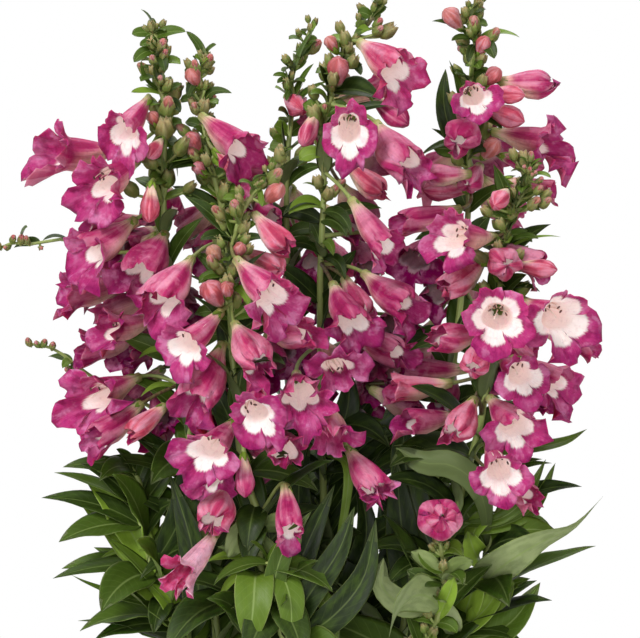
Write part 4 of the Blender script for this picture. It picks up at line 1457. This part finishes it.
def budSet(root, reach, radius, tone, green, rng):
    # a bud on its short stalk: a green one is closed in its calyx, a coloured one grows out of it
    g = budValues
    tip = root + reach
    along = unit(unit(reach) + np.array((0, -0.1, 0.45)))
    length = radius * g["length"]
    base = tip - along * length
    path = bezier(root, root + (base - root) * 0.6 - along * 1.5, base + along * 0.4, 6)
    thick = np.linspace(0.9, 0.75, 6) * min(1, 0.5 + radius / 6)
    parts = [rod(path, thick, 6, (rng.uniform(0, 0.5), 0.4, 0, 0), "stalk")]
    if green > g["green"] or radius < g["young"]:
        parts.append(youngBud(base, along, radius, length, rng.uniform(0.55, 1.0), rng))
        if green < g["closed"]:
            parts.append(budPart(tip + along * radius * 0.2, along, radius * 0.66, length * 0.7,
                                 tone, rng.uniform(0.2, 0.45), rng))
    else:
        right, up = squareTo(along)
        green = max(green, rng.uniform(0.05, 0.3))
        parts.append(budPart(tip, along, radius, length, tone, green, rng))
        parts += calyxParts(base, along, radius, right, up, rng, length * rng.uniform(0.55, 0.75))
    if radius > g["bractFrom"]:
        side = np.array((rng.uniform(-1, 1), rng.uniform(-1, 0.4), rng.uniform(-0.1, 0.6)))
        side = unit(side * 0.6 + unit(reach)) * rng.uniform(*g["bract"])
        spine, across = reachSpine(root, side, 0.15, rng.uniform(30, 80), 8)
        parts.append(blade(spine, across, rng.uniform(*g["bractWidth"]), rng.uniform(0.2, 0.8), rng,
                           columns=5, point=0.8))
    return parts


for order, (name, rows) in enumerate(stemBuds.items()):
    rng = np.random.default_rng(700 + order)
    line = lines[name]
    parts = []
    for place, *reach, radius, tone, green in rows:
        spot = pointAt(line, place) if name in stemNames else line[round(place * (len(line) - 1))]
        parts += budSet(spot, np.array(reach, float), radius, tone, green, rng)
    makePiece(name + "_buds", parts)
print("scene: buds made")

# Young buds stand in clusters at each node of a stem's upper part, with two bracts: values at the
# tip and at the lowest such node, and for all the least and the most
clusterValues = {
    "depth": 84, "steps": (6.5, 11), "radius": (1.6, 3.7), "reach": (3.5, 11), "bract": (9, 17),
    "bractWidth": (5.5, 10), "bractTone": (0.3, 0.85), "bractPoint": 0.5,
    "buds": (1, 3), "thinBuds": (0, 2), "slenderness": (2.6, 3.4), "heading": (-50, 50),
    "rise": (15, 70), "size": (0.7, 1.2), "stalk": (0.55, 1.25), "stepSpread": (0.8, 1.2),
    "bractHeading": (-20, 20), "bractRise": (20, 60), "bractBend": (20, 90),
    "bractLength": (0.75, 1.2), "bractFace": (0, 70), "bractTwist": (-30, 30),
}


def clustersOf(line, counts, rng):
    parts = []
    g = clusterValues
    top = line[:, 2].max()
    turn, below = rng.uniform(0, 180), 1.0
    while below < min(g["depth"], np.ptp(line[:, 2]) * 0.5):
        share = below / g["depth"]
        radius, reach, bract, wide, step = (np.interp(share, (0, 1), g[key]) for key in
                                            ("radius", "reach", "bract", "bractWidth", "steps"))
        root = pointAt(line, top - below)
        turn += 90
        for side in (0, 180):
            for _ in range(rng.integers(*counts)):
                way = aim(turn + side + rng.uniform(*g["heading"]), -rng.uniform(*g["rise"]))
                size = radius * rng.uniform(*g["size"])
                base = root + way * reach * rng.uniform(*g["stalk"])
                along = unit(way + (0, 0, 0.5))
                path = bezier(root, (root + base) / 2 - (0, 0, 0.8), base + along * 0.5, 5)
                tint = (rng.uniform(0, 0.5), 0.4, 0, 0)
                parts.append(rod(path, np.full(5, 0.45 + 0.12 * size), 5, tint, "stalk"))
                parts.append(youngBud(base, along, size, size * rng.uniform(*g["slenderness"]),
                                      rng.uniform(0.5, 1.0), rng))
            heading, rise, bend, longer, face, tone, twist = (
                rng.uniform(*g["bract" + key])
                for key in ("Heading", "Rise", "Bend", "Length", "Face", "Tone", "Twist"))
            spine, across = archSpine(root, turn + side + heading, rise, bend, bract * longer, face,
                                      rows=8)
            parts.append(blade(spine, across, wide / 2, tone, rng, twist=twist, columns=5,
                               point=g["bractPoint"]))
        below += step * rng.uniform(*g["stepSpread"])
    return parts


for order, name in enumerate(stemNames):
    counts = clusterValues["thinBuds" if name == "stem_thin" else "buds"]
    parts = clustersOf(lines[name], counts, np.random.default_rng(800 + order))
    makePiece(name + "_young_buds", parts)
print("scene: young buds made")


# The vase
vaseValues = {"wall": 4.5, "floor": 7.0, "foot": 3.2, "turned": 128, "sideRows": 24, "rimRows": 9}


def buildVase():
    # a profile turned about the vase's axis, from the foot up, over the rolled rim and down inside
    g = vaseValues
    wall, floor = g["wall"], g["floor"]
    height, rim = vaseHigh[2], (vaseHigh[0] - vaseLow[0]) / 2
    corners = nodeCorners("vase").reshape(-1, 3)
    foot = np.linalg.norm(corners[corners[:, 2] < 5, :2], axis=1).max()
    shoulder, well = height - 2.3, foot - wall
    v = np.linspace(0, 1, g["sideRows"])[1:-1, None]
    curl = np.radians(np.linspace(0, 180, g["rimRows"]))
    roll = layers(rim - wall / 2 * (1 - np.cos(curl)), height - wall / 2 * (1 - np.sin(curl)))
    profile = np.vstack((
        ((foot - 6, 0.0), (foot - 3.2, 0.0), (foot - 0.9, 1.0), (foot, g["foot"])),
        (foot, g["foot"]) + v * (rim - foot, shoulder - g["foot"]),
        roll,
        (rim - wall, shoulder) - v * (rim - wall - well, shoulder - floor - 3),
        ((well, floor + 3), (well - 1.5, floor + 0.8), (well - 5, floor)),
    ))
    turn = roundTurns(g["turned"])
    radius, z = profile[:, :1], profile[:, 1:]
    grid = layers(radius * np.cos(turn), radius * np.sin(turn), z)
    part = closedGrid(grid, np.zeros((*grid.shape[:2], 4)), np.zeros(grid.shape), "glaze")
    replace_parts(makePiece("vase_body", [part]), "vase")


buildVase()
print("scene: vase made")


# Floor, light and camera
studio = {
    "floorRadius": 1.1, "whiteFrom": 0.25, "whiteTo": 0.9, "world": 0.18, "target": (0, 0, 0.36),
    "lamps": {  # place, size, power
        "key": ((-1.0, -1.5, 1.5), 0.9, 37.0), "fill": ((1.4, -1.1, 0.7), 1.0, 8.0),
        "top": ((0.2, 0.4, 1.9), 0.9, 15.0), "front": ((-0.15, -1.9, 0.45), 0.5, 10.0),
    },
}
view = {"distance": 2.0, "height": 0.3645, "lens": 225.0, "sensor": 36}


def buildFloor():
    # a round floor: rings of points, the smallest closed by one face
    turn = roundTurns(96)
    rings = np.linspace(0.02, 1, 24)[:, None] * studio["floorRadius"]
    grid = layers(rings * np.cos(turn), rings * np.sin(turn), 0)
    mesh = bpy.data.meshes.new("floor")
    faces = gridFaces(*grid.shape[:2]).tolist() + [list(range(len(turn)))]
    mesh.from_pydata(grid.reshape(-1, 3).tolist(), [], faces)
    floor = bpy.data.objects.new("floor", mesh)
    bpy.context.scene.collection.objects.link(floor)
    material, tree, shader = newMaterial("floor", 0.7)
    shader["Base Color"].default_value = (0.86, 0.86, 0.86, 1)
    # far from the vase the camera sees plain white instead
    reach = wired(tree, "ShaderNodeVectorMath", {0: objectPlace(tree)}, "Value", operation="LENGTH")
    seen = wired(tree, "ShaderNodeLightPath", {}, "Is Camera Ray")
    far = reach.ramp(studio["whiteFrom"], studio["whiteTo"]) * seen
    white = wired(tree, "ShaderNodeEmission", {"Strength": 1.0})
    plainFloor = Field(tree, tree.nodes["Principled BSDF"].outputs[0])
    both = wired(tree, "ShaderNodeMixShader", {0: far, 1: plainFloor, 2: white})
    feed(tree.nodes["Material Output"].inputs["Surface"], both)
    mesh.materials.append(material)


def buildWorld():
    # white behind everything, softer as light
    world = bpy.data.worlds.new("studio")
    bpy.context.scene.world = world
    world.use_nodes = True
    tree = world.node_tree
    seen, glossy, through = (wired(tree, "ShaderNodeLightPath", {}, "Is %s Ray" % kind)
                             for kind in ("Camera", "Glossy", "Transmission"))
    shows = seen.math("MAXIMUM", glossy.math("MAXIMUM", through))
    given = {0: shows, 2: studio["world"], 3: 1.0}
    back = tree.nodes["Background"].inputs
    back["Color"].default_value = (1, 1, 1, 1)
    feed(back["Strength"], wired(tree, "ShaderNodeMix", given, data_type="FLOAT"))


def softLamp(name, place, size, power):
    lamp = bpy.data.lights.new(name, "AREA")
    lamp.shape, lamp.size, lamp.energy = "DISK", size, power
    thing = bpy.data.objects.new(name, lamp)
    thing.location = place
    way = Vector(studio["target"]) - Vector(place)
    thing.rotation_euler = way.to_track_quat("-Z", "Y").to_euler()
    bpy.context.scene.collection.objects.link(thing)


buildFloor()
buildWorld()
for name, values in studio["lamps"].items():
    softLamp(name, *values)
camera = bpy.data.cameras.new("camera")
camera.sensor_width, camera.lens = view["sensor"], view["lens"]
camera.dof.use_dof = False
cameraObject = bpy.data.objects.new("camera", camera)
cameraObject.location = (0, -view["distance"], view["height"])
cameraObject.rotation_euler = (math.pi / 2, 0, 0)
bpy.context.scene.collection.objects.link(cameraObject)
bpy.context.scene.camera = cameraObject
bpy.context.scene.view_settings.view_transform = "Standard"
print("scene: floor, light and camera set")
